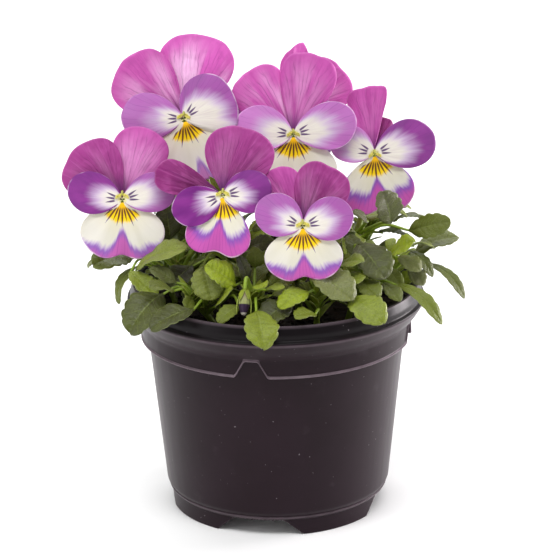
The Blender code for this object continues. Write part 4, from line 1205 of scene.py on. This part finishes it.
def pot_paint():
    paint = Paint("pot_plastic", 0.34, 0.14)
    paint.put(0.06, paint.shader.inputs["Sheen Weight"])
    paint.put(0.5, paint.shader.inputs["Sheen Roughness"])
    paint.put((1.0, 0.86, 0.93, 1.0), paint.shader.inputs["Sheen Tint"])
    edge_highlight, shaded = paint.tint()[:2]
    place = paint.place()
    x, y, z = (Value(paint, s) for s in paint.node("SeparateXYZ", {0: place}).outputs)
    drawn = paint.noise(paint.vector(x, y, z * 0.05), 400, 2)
    dust = paint.noise(place, 1100, 1).step(0.775, 0.80)
    scuff = paint.noise(place, 130, 5).step(0.62, 0.78)
    patchy = paint.noise(place, 250, 3).step(0.3, 0.6) * 0.3 + 0.7
    broad = paint.noise(place, 40, 3).step(0.3, 0.7)
    paint.color = paint.blend(broad, srgb(27, 12, 20), srgb(32, 17, 26))
    # The collar above the lip is painted near black: a painted dark reflection of the glossy plastic.
    paint.coat(shaded, srgb(10, 5, 8))
    paint.coat(dust * 0.5, srgb(150, 140, 146))
    paint.coat(scuff * 0.25, srgb(64, 54, 60))
    # Painted highlights: pale lines along the bead, seam, lip, rim and foot edges, in patches.
    paint.coat(edge_highlight * patchy, srgb(112, 98, 106))
    return paint.finish(drawn, 0.00001, drawn.step(0.3, 0.7) * 0.05 + 0.33)


def eye_paint():
    paint = Paint("flower_eye", 0.5, 0.4)
    grain = paint.noise(paint.place(), 3000, 2)
    paint.color = paint.blend(paint.tint()[0], srgb(124, 134, 48), srgb(246, 236, 128))
    paint.coat(grain * 0.15, srgb(200, 190, 60))
    return paint.finish(grain, 0.00005)


def bud_paint():
    """A bud's closed petals: buff with dark lines at its stalk, then violet with a pale tip."""
    paint = Paint("bud_petals", 0.45, 0.4)
    turn, along = paint.uv("place")
    lines = abs(paint.math("SINE", turn * 30))
    paint.color = paint.blend(along.step(0.1, 0.5), srgb(128, 104, 84), srgb(156, 166, 98))
    paint.coat(lines * 0.25, srgb(104, 84, 84))
    paint.coat(along.step(0.56, 0.60), srgb(44, 22, 52))
    paint.coat(along.step(0.90, 0.94), srgb(206, 200, 184))
    return paint.finish(lines)


# Petals


def outline_change(petal, outline, across):
    """How much further than the plain petal the fine one reaches at a place across its fan."""
    fan = abs(across) * FAN_LIMIT
    plain = 1 - fan**outline.power
    change = plain**-petal.full
    if petal.square and across < 0:
        square = 1 - fan ** (outline.power * (1 + 5 * petal.square))
        change *= (square / plain) ** outline.falloff
        change *= 1 + 0.05 * petal.square * abs(across)
    if petal.point:
        change *= 1.03 - petal.point * abs(across + 0.38)
    return change


def petal_grid(bloom, petal, outline, layer):
    """The petal's surface as a fine grid, with its place and polar coordinates."""
    points, places, polars = (np.zeros((PETAL_ROWS, PETAL_COLUMNS, size)) for size in (3, 2, 2))
    right, up, forward, throat = (np.array(v) for v in bloom_frame(bloom))
    seed = petal.direction * 0.7 + bloom.throat[0]
    petal = petal._replace(
        direction=petal.direction + petal.swing, length=petal.length * (1 - petal.trim),
        spread=petal.spread * petal.wide,
    )
    for cell, share, across in cells(PETAL_ROWS, PETAL_COLUMNS):
        reach = mix(0.05, 1.0, share)
        spot = noise.noise(Vector((2.2 * across, seed, 1.3)))
        spot += 0.25 * noise.noise(Vector((6.0 * across, seed, 4.1)))
        full = reach * (1 + 0.03 * spot * smooth_step(0.5, 1.0, reach))
        full *= mix(1, outline_change(petal, outline, across), smooth_step(0.2, 0.9, reach))
        x, y, z = petal_point(petal, outline, layer, across, full)
        angle, radius = across * FAN_LIMIT * petal.spread, math.hypot(x, y)
        frill = noise.noise(Vector((5.5 * across, 1.7 * reach, seed)))
        z += 0.030 * petal.length * frill * reach**2.5
        if outline is UPPER:
            ridge = math.cos(math.radians(angle) * 34 + seed)
            z += 0.035 * ridge * smooth_step(0.15, 0.6, reach)
        if outline is LIP:
            z += 1.3 * smooth_step(7.0, 1.5, radius)
        points[cell] = throat + right * x + up * y + forward * z
        places[cell] = (across / 2 + 0.5, reach)
        polars[cell] = (angle / POLAR_ANGLE + 0.5, radius / POLAR_RADIUS)
    return points, places, polars


def add_petal(skin, bloom, petal, outline, layer):
    """A fine petal, thinner toward its edge and without the markings of its base on its back."""
    points, places, polars = petal_grid(bloom, petal, outline, layer)
    half = PETAL_HALF * (1.5 - np.linspace(0, 1, PETAL_ROWS)[:, None])
    seed = (abs(bloom.throat[0]) * 0.37 + petal.direction * 0.013) % 1
    shares = (petal.pale, 0) if outline is UPPER else (petal.start, petal.bias / 2 + 0.5)
    back = np.maximum(polars, (0, PLAIN_BACK / POLAR_RADIUS))
    spots = np.concatenate([back.reshape(-1, 2), polars.reshape(-1, 2)])
    skin.add_sheet(points, half, (petal.deep, *shares, seed), places, spots)


def add_eye(skin, bloom):
    """The small green knob at the throat, and a low tuft of yellow hairs at each side of it."""
    draw = random.Random(bloom.name)
    rise = EYE_RISE.get(bloom.name, EYE_RISE_USUAL)
    knob = smooth_path([bloom_point(bloom, 0, rise + y, z) for y, z in KNOB], KNOB_STEPS)
    skin.add_tube(knob, taper(0.42, 0.34, KNOB_STEPS), (0.35, 0, 0, 0), 14)
    for side in (-1, 1):
        for _ in range(EYE_HAIRS):
            x = side * draw.uniform(0.35, 2.2)
            y = rise + 0.4 - 0.5 * abs(x) + draw.uniform(-0.55, 0.5)
            base = bloom_point(bloom, x, y, HAIR_FRONT)
            lean = (side * draw.uniform(-0.1, 0.3), draw.uniform(-0.3, 0.1), draw.uniform(0.3, 0.6))
            lean = Vector(lean)
            tip = bloom_point(bloom, x + lean.x, y + lean.y, HAIR_FRONT + lean.z)
            radii = [HAIR_RADIUS * share for share in (1, 0.8, 0.25)]
            tint = (draw.uniform(0.8, 1.0), 0, 0, 0)
            skin.add_tube([base, base.lerp(tip, 0.6), tip], radii, tint, 4)


def make_bloom(bloom, paints):
    petals = [(petal, *kind) for petal, kind in zip(bloom.petals, PETAL_KINDS)]
    for part, node, chosen in (
        ("uppers", "upper_petals", petals[:2]),
        ("sides", "front_petals", petals[2:4]),
        ("lip", "front_petals", petals[4:]),
    ):
        skin = Skin()
        for petal in chosen:
            add_petal(skin, bloom, *petal)
        skin.finish(f"{bloom.name}_{part}", paints[part], node, f"{bloom.name}_{node}")
    eye = Skin()
    add_eye(eye, bloom)
    eye.finish(f"{bloom.name}_eye", paints["eye"], "front_petals")


# Leaves and stems


def fine_width(share):
    """The leaf's half width with rounded lobes that meet in shallow dents, and a round tip."""
    if share > FINE_MIDDLE:
        width = (1 - ((share - FINE_MIDDLE) / (1 - FINE_MIDDLE)) ** 2.3) ** 0.55
    else:
        width = (1 - ((FINE_MIDDLE - share) / FINE_MIDDLE) ** 1.9) ** 0.75
    lobe = abs(math.sin(math.pi * (share - FIRST_DENT) / FINE_SPACING)) ** 0.6
    depth = FINE_DEPTH * smooth_step(0.99, 0.85, share) * smooth_step(0.1, 0.25, share)
    return width * (1 - depth * (1 - lobe))


def leaf_grid(leaf, rows, columns):
    """The blade's surface as a fine grid, cupped and puckered between its veins."""
    leaf = leaf._replace(roll=leaf.roll + leaf.turn, width=leaf.width * leaf.broad * FINE_BROAD)
    along, side, face, length = leaf_frame(leaf)
    seed = leaf.base[0] * 0.7 + leaf.base[1]
    points, places = np.zeros((rows, columns, 3)), np.zeros((rows, columns, 2))
    for cell, even, across in cells(rows, columns):
        share = 0.998 * mix(even, 0.5 - 0.5 * math.cos(math.pi * even), 0.5)
        stalk = PETIOLE_RADIUS * 1.1 * smooth_step(0.3, 0.0, share)
        half = max(leaf.width / 2 * fine_width(share), stalk)
        beat = (share - 0.14 * abs(across) - 0.02) / (TOOTH_SPACING / 2)
        pucker = 0.026 * leaf.width * abs(math.sin(math.pi * beat)) * (1 - across * across)
        spot = noise.noise(Vector((1.6 * across, 4 * share, seed)))
        lift = leaf_lift(leaf, share, across, half, length)
        lift += pucker + 0.06 * leaf.width * spot * abs(across)
        lift -= 0.07 * half * math.exp(-((across / 0.12) ** 2))
        place = Vector(leaf.base) + along * (length * share) + face * lift
        points[cell] = place + side * (half * across)
        places[cell] = (across / 2 + 0.5, share)
    return points, places


def add_leaf(skin, leaf):
    """A fine blade, whose back is paler than its face."""
    facing, length = leaf_frame(leaf)[2:]
    rows, columns = LEAF_GRID if length > YOUNG_LENGTH[1] - 3 else YOUNG_GRID
    points, places = leaf_grid(leaf, rows, columns)
    half = LEAF_HALF * (1.35 - 0.8 * np.abs(np.linspace(-1, 1, columns)))
    seed = (leaf.base[0] * 0.137 + leaf.base[1] * 0.071) % 1
    count = rows * columns
    tints = np.tile([leaf.tone, leaf.gray, 0, seed], (2 * count, 1))
    # The shell's first half is the face on the side of its grid's normal.
    normal = np.cross(points[5, 6] - points[5, 4], points[6, 5] - points[4, 5])
    under = slice(count, None) if normal.dot(np.array(facing)) > 0 else slice(0, count)
    tints[under, 2] = 1
    skin.add_sheet(points, half, tints, places)


def add_petiole(skin, leaf, path, top):
    """A leaf's stalk, which runs on under the start of its blade."""
    along, _, _, length = leaf_frame(leaf)
    stalk = petiole_path(leaf, path, top, steps=10)
    stalk.append(stalk[-1] + along * (length * 0.12))
    radii = taper(PETIOLE_RADIUS * 1.2, PETIOLE_RADIUS * 0.55, len(stalk))
    skin.add_tube(stalk, radii, (0.55 + 0.4 * leaf.tone, 0, 0, 0), ridges=0.10)


def add_calyx(stems, green, bloom):
    """Receptacle, five pointed sepals and the spur behind a bloom."""
    back = CALYX_FRONT - CALYX_DEPTH
    body = [bloom_point(bloom, 0, 0, depth) for depth in taper(CALYX_FRONT + 1.5, back, 8)]
    radii = [CALYX_RADIUS * math.sin(math.pi * share) for share in taper(0.2, 0.88, 8)]
    stems.add_tube(body, radii, (0.55, 0, 0, 0), 16)
    spur = [(-SPUR_DROP, 1), (-2 * SPUR_DROP, -SPUR_LENGTH * 0.6), (-SPUR_DROP, -SPUR_LENGTH)]
    spur = smooth_path([bloom_point(bloom, 0, y, back + z) for y, z in spur], 9)
    stems.add_tube(spur, taper(SPUR_RADIUS, SPUR_RADIUS / 2, 9), (0.3, 0.85, 0, 0), 12)
    for heading in SEPAL_HEADINGS:
        x, y = math.cos(math.radians(heading)), math.sin(math.radians(heading))
        tip = bloom_point(bloom, SEPAL_LENGTH * x, SEPAL_LENGTH * y, CALYX_FRONT - 1.8)
        root = bloom_point(bloom, x * 1.2, y * 1.2, CALYX_FRONT - 1.0)
        add_scale(green, root, tip, SEPAL_WIDTH, bloom_frame(bloom)[2], 0.6)


def add_scale(skin, root, tip, width, facing, tone):
    """A small pointed blade, for a sepal, a stipule or a leaf of a tuft."""
    along, length = (tip - root).normalized(), (tip - root).length
    face = (facing - along * facing.dot(along)).normalized()
    side = face.cross(along)
    points, places = np.zeros((*SCALE_GRID, 3)), np.zeros((*SCALE_GRID, 2))
    for cell, share, across in cells(*SCALE_GRID):
        half = width / 2 * max(math.sin(math.pi * mix(0.22, 0.985, share)) ** 0.8, 0.06)
        lift = 0.12 * half * across * across + 0.06 * length * math.sin(math.pi * share)
        points[cell] = root + along * (length * share) + side * (half * across) + face * lift
        places[cell] = (across / 2 + 0.5, share)
    skin.add_sheet(points, SCALE_HALF, (tone, 0.1, 0, 0.5), places)


def add_stipules(green, path, height, draw):
    """Narrow leafy lobes where a leaf's stalk leaves the stem."""
    start = point_at_height(path, height)
    turn = draw.uniform(0, 2 * math.pi)
    for index in range(3):
        angle = turn + index * 2.1 + draw.uniform(-0.4, 0.4)
        out = around(angle, draw.uniform(0.5, 1.2)).normalized()
        tip = start + out * draw.uniform(5, 10)
        width = draw.uniform(1.4, 2.6)
        add_scale(green, start, tip, width, Vector((0, 0, 1)), draw.uniform(0.6, 1.0))


def add_star(green, center, draw):
    """The tuft of narrow young leaves at the tip of a shoot."""
    for index in range(STAR_LEAVES):
        angle = 2 * math.pi * index / STAR_LEAVES + draw.uniform(-0.3, 0.3)
        out = around(angle, draw.uniform(0.5, 1.8)).normalized()
        tip = center + out * draw.uniform(*STAR_LENGTH)
        width = draw.uniform(1.8, 3.2)
        add_scale(green, center, tip, width, Vector((0, -0.3, 1)), draw.uniform(0.65, 1.0))


def add_bud(stems, green, petals, path):
    """The hanging bud: its crooked stalk, green sepals and closed petals."""
    top, tip = Vector(BUD_TOP), Vector(BUD_TIP)
    start, crook = point_at_height(path, SOIL_TOP + 10), top + Vector(BUD_CROOK)
    rise = start.lerp(crook, 0.6) + Vector((0, 0, BUD_RADIUS))
    stalk = smooth_path([start, rise, crook, top], 20)
    stems.add_tube(stalk, [PETIOLE_RADIUS] * 20, (0.8, 0, 0, 0), 10, 0.06)
    body = [top.lerp(tip, share) for share in taper(0, 1, BUD_RINGS)]
    radii = [
        BUD_RADIUS * math.sin(math.pi * share) ** 0.7 for share in taper(0.12, 0.93, BUD_RINGS)
    ]
    places = [
        (corner / BUD_SIDES, share) for share in taper(0, 1, BUD_RINGS) for corner in range(BUD_SIDES)
    ]
    petals.add_tube(body, radii, (0, 0, 0, 0), BUD_SIDES, places=places + [(0, 0), (0, 1)])
    along = (tip - top).normalized()
    for heading, reach in BUD_SEPALS:
        side = around(math.radians(heading))
        side = (side - along * side.dot(along)).normalized()
        end = top.lerp(tip, reach) + side * (BUD_RADIUS * 1.2)
        add_scale(green, top + side * 0.8, end, 1.9, side, 0.95)


def make_shoot(name, plant, paints):
    stems, green = Skin(), Skin()
    path, top = plant.paths[name], stem_height(name)
    stem = smooth_path(shoot_points(name)[0], STEM_STEPS)
    radii = taper(STEM_RADIUS, STALK_RADIUS, STEM_STEPS)
    stems.add_tube(stem, radii, (0.6, 0.06, 0, 0), 12, 0.07)
    if bloom_of(name):
        add_calyx(stems, green, bloom_of(name))
    draw = random.Random(name)
    for leaf in plant.leaves[name]:
        add_petiole(stems, leaf, path, top)
        add_leaf(green, leaf)
    for _ in range(STIPULE_GROUPS):
        add_stipules(green, path, draw.uniform(SOIL_TOP + YOUNG_LOW, top - 1), draw)
    if name in LEAFY_SHOOTS:
        add_star(green, stem[-1] - Vector((0, 0, 0.5)), draw)
    if name == BUD_SHOOT:
        petals = Skin()
        add_bud(stems, green, petals, path)
        petals.finish("hanging_bud", paints["bud"], "upper_petals")
    stems.finish(name + "_stems", paints["stem"], "foliage", name)
    green.finish(name + "_leaves", paints["leaf"], "foliage", name)


# Soil


def soil_lump(x, y):
    """How far the soil's top stands above or below its level."""
    lumps = sum(noise.noise(Vector((x, y, size)) / size) for size in SOIL_LUMP_SIZES)
    return SOIL_LUMP * lumps * (1 - smooth_step(*SOIL_LEVEL_EDGE, math.hypot(x, y)))


def fine_soil(x, y):
    """The height of the soil's grainy top."""
    grain = noise.noise(Vector((x, y, 2.0)) / 1.6) * 0.55
    grain += noise.noise(Vector((x, y, 5.0)) / 0.8) * 0.25
    return SOIL_TOP + soil_lump(x, y) + grain


def make_soil(paints):
    skin = Skin()
    edge = BAND_RADIUS - WALL - GAP + SOIL_FLARE
    turns = [2 * math.pi * corner / SOIL_SIDES for corner in range(SOIL_SIDES)]
    rings = int(edge / SOIL_CELL)
    points = []
    for ring in range(1, rings + 1):
        radius = edge * ring / rings
        for turn in turns:
            x, y = radius * math.cos(turn), radius * math.sin(turn)
            points.append((x, y, fine_soil(x, y)))
    step, foot = NOTCH_TOP + WALL + GAP, FLOOR_LOW + WALL + GAP
    below = (
        (edge - SOIL_FLARE, step), (BODY_TOP_RADIUS - WALL - GAP, step),
        (BODY_TOP_RADIUS - WALL - GAP, BAND_BOTTOM), (BODY_LOW_RADIUS - WALL - GAP, BODY_LOW),
        (BODY_LOW_RADIUS - WALL - 2 * GAP - 1, foot),
    )
    points += [(r * math.cos(turn), r * math.sin(turn), h) for r, h in below for turn in turns]
    points += [(0, 0, fine_soil(0, 0)), (0, 0, foot)]
    faces = [face[::-1] for face in ring_faces(rings + len(below), SOIL_SIDES)]
    skin.add(points, faces, (0, 0, 0, 0))
    add_crumbs(skin, edge - 2.5)
    skin.finish("potting_soil", paints["soil"], "soil", "soil")


def add_crumbs(skin, edge):
    """Loose lumps of different sizes, scattered over the soil's top."""
    draw = random.Random(CRUMB_SEED)
    ball = bmesh.new()
    bmesh.ops.create_icosphere(ball, subdivisions=2, radius=1.0)
    shape = [v.co.copy() for v in ball.verts]
    corners = [[v.index for v in f.verts] for f in ball.faces]
    ball.free()
    for _ in range(CRUMBS):
        radius, angle = edge * math.sqrt(draw.random()), draw.uniform(0, 2 * math.pi)
        x, y = radius * math.cos(angle), radius * math.sin(angle)
        size = Vector((draw.uniform(0.4, 1.6), draw.uniform(0.4, 1.2), draw.uniform(0.3, 0.8)))
        turn = Matrix.Rotation(draw.uniform(0, 2 * math.pi), 3, "Z")
        center = Vector((x, y, fine_soil(x, y) + 0.2))
        crumb = []
        for place in shape:
            lump = 1 + 0.35 * noise.noise(place * 1.7 + Vector((x, y, 0)))
            crumb.append(list(turn @ (place * size * lump) + center))
        skin.add(crumb, corners, (0, 0, 0, 0))


# Pot


def rounded(profile, radius):
    """The profile with a short arc at each inner corner, and a point on each side of it."""
    made = [profile[0]]
    for before, corner, after in zip(profile, profile[1:], profile[2:]):
        corner = Vector(corner)
        back, ahead = Vector(before) - corner, Vector(after) - corner
        reach = min(radius, back.length * 0.3, ahead.length * 0.3)
        start, end = corner + back.normalized() * reach, corner + ahead.normalized() * reach
        made.append(tuple(corner + back.normalized() * min(1.6 * radius, back.length * 0.45)))
        for share in (0.0, 0.35, 0.65, 1.0):
            low, high = start.lerp(corner, share), corner.lerp(end, share)
            made.append(tuple(low.lerp(high, share)))
        made.append(tuple(corner + ahead.normalized() * min(1.6 * radius, ahead.length * 0.45)))
    return made + [profile[-1]]


def quarter_offset(angle, radius):
    """The distance along the wall from the nearest notch's middle."""
    quarter = 2 * math.pi / QUARTERS
    away = (angle - math.radians(NOTCH_ANGLE - 90) + quarter / 2) % quarter - quarter / 2
    return radius * math.sin(away)


def ramp(offset, low_width, top_width, blur):
    """From 0 beside an opening to 1 in its middle, along its sloped sides."""
    reach = abs(offset)
    total = 0.0
    for shift in (-blur, 0.0, blur):
        share = (low_width / 2 - reach - shift) / ((low_width - top_width) / 2)
        total += min(max(share, 0.0), 1.0) / 3
    return total


def band_edge(angle, widen):
    """The height of the band's lower edge, which rises over each notch."""
    offset = quarter_offset(angle, BAND_RADIUS)
    share = ramp(offset, NOTCH_LOW_WIDTH + widen, NOTCH_TOP_WIDTH + widen, 0.3)
    return mix(BAND_BOTTOM, NOTCH_TOP, share)


def foot_edge(angle):
    """The height of the foot ring's lower edge, with a ragged line of flash in each gap."""
    offset = quarter_offset(angle, FOOT_RADIUS)
    share = ramp(offset, FOOT_GAP_LOW_WIDTH, FOOT_GAP_TOP_WIDTH, 0.15)
    flash = noise.noise(Vector((offset * 1.1, 3.0, 0))) + noise.noise(Vector((offset * 3.1, 7.0, 0)))
    return share * (FOOT_GAP_HEIGHT - FLASH * abs(flash))


def body_radius(height):
    share = (height - BODY_LOW) / (BAND_BOTTOM - BODY_LOW)
    return mix(BODY_LOW_RADIUS, BODY_TOP_RADIUS, share)


def pot_profile(angle):
    """The wall in section at an angle: over the floor, up the inside, and down the outside."""
    floor_top = FLOOR_LOW + WALL
    step = min(band_edge(angle, 2 * WALL) + WALL, BAND_TOP - 0.2)
    band = band_edge(angle, 0.0)
    foot = foot_edge(angle)
    inside = [
        (0.0, floor_top),
        (BODY_LOW_RADIUS - WALL, floor_top),
        (body_radius(step) - WALL, step),
        (BAND_RADIUS - WALL, step),
        (BAND_RADIUS - WALL, BAND_TOP),
        (TOP_RADIUS - WALL, COLLAR_LOW),
        (TOP_RADIUS - WALL, POT_HEIGHT - RIM_ROUND),
        (TOP_RADIUS - WALL + RIM_ROUND, POT_HEIGHT),
    ]
    outside = [
        (TOP_RADIUS, POT_HEIGHT),
        (TOP_RADIUS + COLLAR_SWELL, COLLAR_SWELL_TOP),
        (TOP_RADIUS + COLLAR_SWELL, COLLAR_SWELL_LOW),
        (LIP_RADIUS, LIP_HEIGHT + LIP_HALF),
        (LIP_RADIUS, LIP_HEIGHT - LIP_HALF),
        (TOP_RADIUS, COLLAR_LOW),
        (BAND_RADIUS, BAND_TOP),
        (BAND_RADIUS, band + BEAD_HEIGHT),
        (BAND_RADIUS + BEAD, band + BEAD_HEIGHT - BEAD),
        (BAND_RADIUS + BEAD, band + BEAD / 2),
        (BAND_RADIUS, band),
        (body_radius(band), band),
        (BODY_LOW_RADIUS, BODY_LOW),
        (SEAM_RADIUS + BEAD / 4, SEAM_HEIGHT + BEAD_HEIGHT),
        (SEAM_RADIUS + BEAD, SEAM_HEIGHT + BEAD_HEIGHT - BEAD / 2),
        (SEAM_RADIUS, SEAM_HEIGHT),
        (FOOT_RADIUS, max(SEAM_HEIGHT - SEAM_STEP, foot + 0.2)),
        (FOOT_RADIUS, foot),
    ]
    under = [(FOOT_RADIUS - WALL, foot), (FOOT_RADIUS - WALL, FLOOR_LOW), (0.0, FLOOR_LOW)]
    return rounded(inside + outside + under, POT_FILLET)


def pot_edge_highlight(radius, height, angle):
    """How much painted highlight a point of the wall gets, in pale lines along its outer edges."""
    highlight = 0.0
    for start, level, reach, share in (
        (BAND_RADIUS - 0.1, band_edge(angle, 0.0) + 0.5 * BEAD_HEIGHT, 0.55, 1.0),
        (SEAM_RADIUS + 0.1, SEAM_HEIGHT + 0.5 * BEAD_HEIGHT, 0.5, 0.45),
        (LIP_RADIUS - 0.3, LIP_HEIGHT - LIP_HALF, 0.4, 0.4),
        (TOP_RADIUS - 0.6, POT_HEIGHT, 0.3, 0.4),
        (FOOT_RADIUS - 0.1, foot_edge(angle), 0.3, 0.3),
    ):
        if radius > start and abs(height - level) < reach:
            highlight = max(highlight, share)
    return highlight


def drill_floor(pot):
    """Cut the drain holes through the pot's floor."""
    holes = bpy.data.collections.new("drain_holes")
    for hole in range(DRAIN_COUNT):
        angle = math.radians((hole + 0.5) * 360 / DRAIN_COUNT)
        work = bmesh.new()
        bmesh.ops.create_cone(
            work, cap_ends=True, segments=32, radius1=DRAIN_RADIUS * MM,
            radius2=DRAIN_RADIUS * MM, depth=4 * WALL * MM,
        )
        place = Vector((DRAIN_RING * math.sin(angle), DRAIN_RING * math.cos(angle), FLOOR_LOW))
        bmesh.ops.translate(work, vec=place * MM, verts=work.verts)
        mesh = bpy.data.meshes.new("drain_hole")
        work.to_mesh(mesh)
        work.free()
        mesh.transform(Matrix.Translation(POT_AXIS))
        holes.objects.link(bpy.data.objects.new("drain_hole", mesh))
    tool = pot.modifiers.new("drain_holes", "BOOLEAN")
    tool.operation = "DIFFERENCE"
    tool.operand_type = "COLLECTION"
    tool.collection = holes
    tool.solver = "EXACT"
    bpy.context.view_layer.update()
    graph = bpy.context.evaluated_depsgraph_get()
    mesh = bpy.data.meshes.new_from_object(pot.evaluated_get(graph))
    pot.modifiers.clear()
    pot.data = mesh
    for cutter in list(holes.objects):
        bpy.data.objects.remove(cutter)
    bpy.data.collections.remove(holes)
    mesh.set_sharp_from_angle(angle=math.radians(40))


def make_pot(paints):
    skin = Skin()
    points, tints, faces = [], [], []
    for column in range(POT_COLUMNS):
        angle = 2 * math.pi * column / POT_COLUMNS
        section = pot_profile(angle)[1:-1]
        for radius, height in section:
            points.append((radius * math.cos(angle), radius * math.sin(angle), height))
            # Above the lip the collar gets a painted dark reflection.
            shade = smooth_step(LIP_HEIGHT, LIP_HEIGHT + 0.6, height)
            # The first share is the painted edge highlight.
            tints.append((pot_edge_highlight(radius, height, angle), shade, 0, 0))
    count = len(section)
    for near in range(0, len(points), count):
        far = (near + count) % len(points)
        faces.append([len(points), near, far])
        for row in range(count - 1):
            faces.append([near + row, near + row + 1, far + row + 1, far + row])
        faces.append([near + count - 1, len(points) + 1, far + count - 1])
    points += [(0, 0, FLOOR_LOW + WALL), (0, 0, FLOOR_LOW)]
    tints += [(0, 0, 0, 0)] * 2
    skin.add(points, faces, tints)
    drill_floor(skin.finish("nursery_pot", paints["pot"], "pot", "pot"))


# Studio


def make_camera():
    camera = bpy.data.cameras.new("camera")
    camera.sensor_width = SENSOR
    camera.lens = FOCAL_PIXELS / IMAGE_SIZE * SENSOR
    camera.clip_start, camera.clip_end = 0.01, 10
    holder = link_object("camera", camera)
    elevation = math.radians(CAMERA_ELEVATION)
    target = Vector(CAMERA_TARGET) * MM + POT_AXIS
    back = Vector((0, -math.cos(elevation), math.sin(elevation)))
    roll = Matrix.Rotation(math.radians(CAMERA_ROLL), 3, "Z")
    turn = (-back).to_track_quat("-Z", "Y").to_matrix() @ roll
    holder.matrix_world = Matrix.Translation(target + back * CAMERA_DISTANCE * MM) @ turn.to_4x4()
    bpy.context.scene.camera = holder


def soft_light(name, place, target, size, watts, color=(1, 1, 1)):
    lamp = bpy.data.lights.new(name, "AREA")
    lamp.shape = "RECTANGLE"
    lamp.size, lamp.size_y = size
    lamp.energy = watts
    lamp.color = color
    holder = link_object(name, lamp)
    holder.location = place
    aim = Vector(target) - Vector(place)
    holder.rotation_euler = aim.to_track_quat("-Z", "Y").to_euler()


def make_studio():
    """A pale floor, a white world and four soft lights, with sizes and places in metres."""
    work = bmesh.new()
    bmesh.ops.create_grid(work, x_segments=1, y_segments=1, size=4.0)
    mesh = bpy.data.meshes.new("floor")
    work.to_mesh(mesh)
    work.free()
    paint = Paint("floor", 0.9, 0.0)
    paint.put((0.95, 0.95, 0.95, 1), paint.shader.inputs["Base Color"])
    mesh.materials.append(paint.material)
    floor = link_object("floor", mesh)
    world = bpy.data.worlds.new("studio")
    world.use_nodes = True
    world.node_tree.nodes["Background"].inputs["Color"].default_value = (1, 1, 1, 1)
    world.node_tree.nodes["Background"].inputs["Strength"].default_value = 0.42
    bpy.context.scene.world = world
    soft_light("top_light", (-0.1, -0.55, 1.25), (0, 0, 0.05), (1.3, 0.42), 12.5)
    soft_light("key_light", (-0.9, -0.5, 0.4), (0, 0, 0.06), (0.6, 0.8), 2.4)
    soft_light("side_light", (0.7, 0.25, 0.15), (0, 0, 0.05), (0.3, 0.3), 5.5, (1, 0.94, 0.97))
    soft_light("back_light", (0.0, 0.9, 1.0), (0, 0.75, 0), (1.6, 0.6), 14.0)


def main():
    bpy.context.scene.view_settings.view_transform = "Standard"
    make_camera()
    paints = {
        "uppers": upper_paint(), "sides": side_paint(), "lip": lip_paint(), "eye": eye_paint(),
        "leaf": leaf_paint(), "stem": stem_paint(), "soil": soil_paint(), "pot": pot_paint(),
        "bud": bud_paint(),
    }
    plant = grow_plant()
    for bloom in BLOOMS:
        make_bloom(bloom, paints)
    for name in plant.paths:
        make_shoot(name, plant, paints)
    make_soil(paints)
    make_pot(paints)
    make_studio()


main()
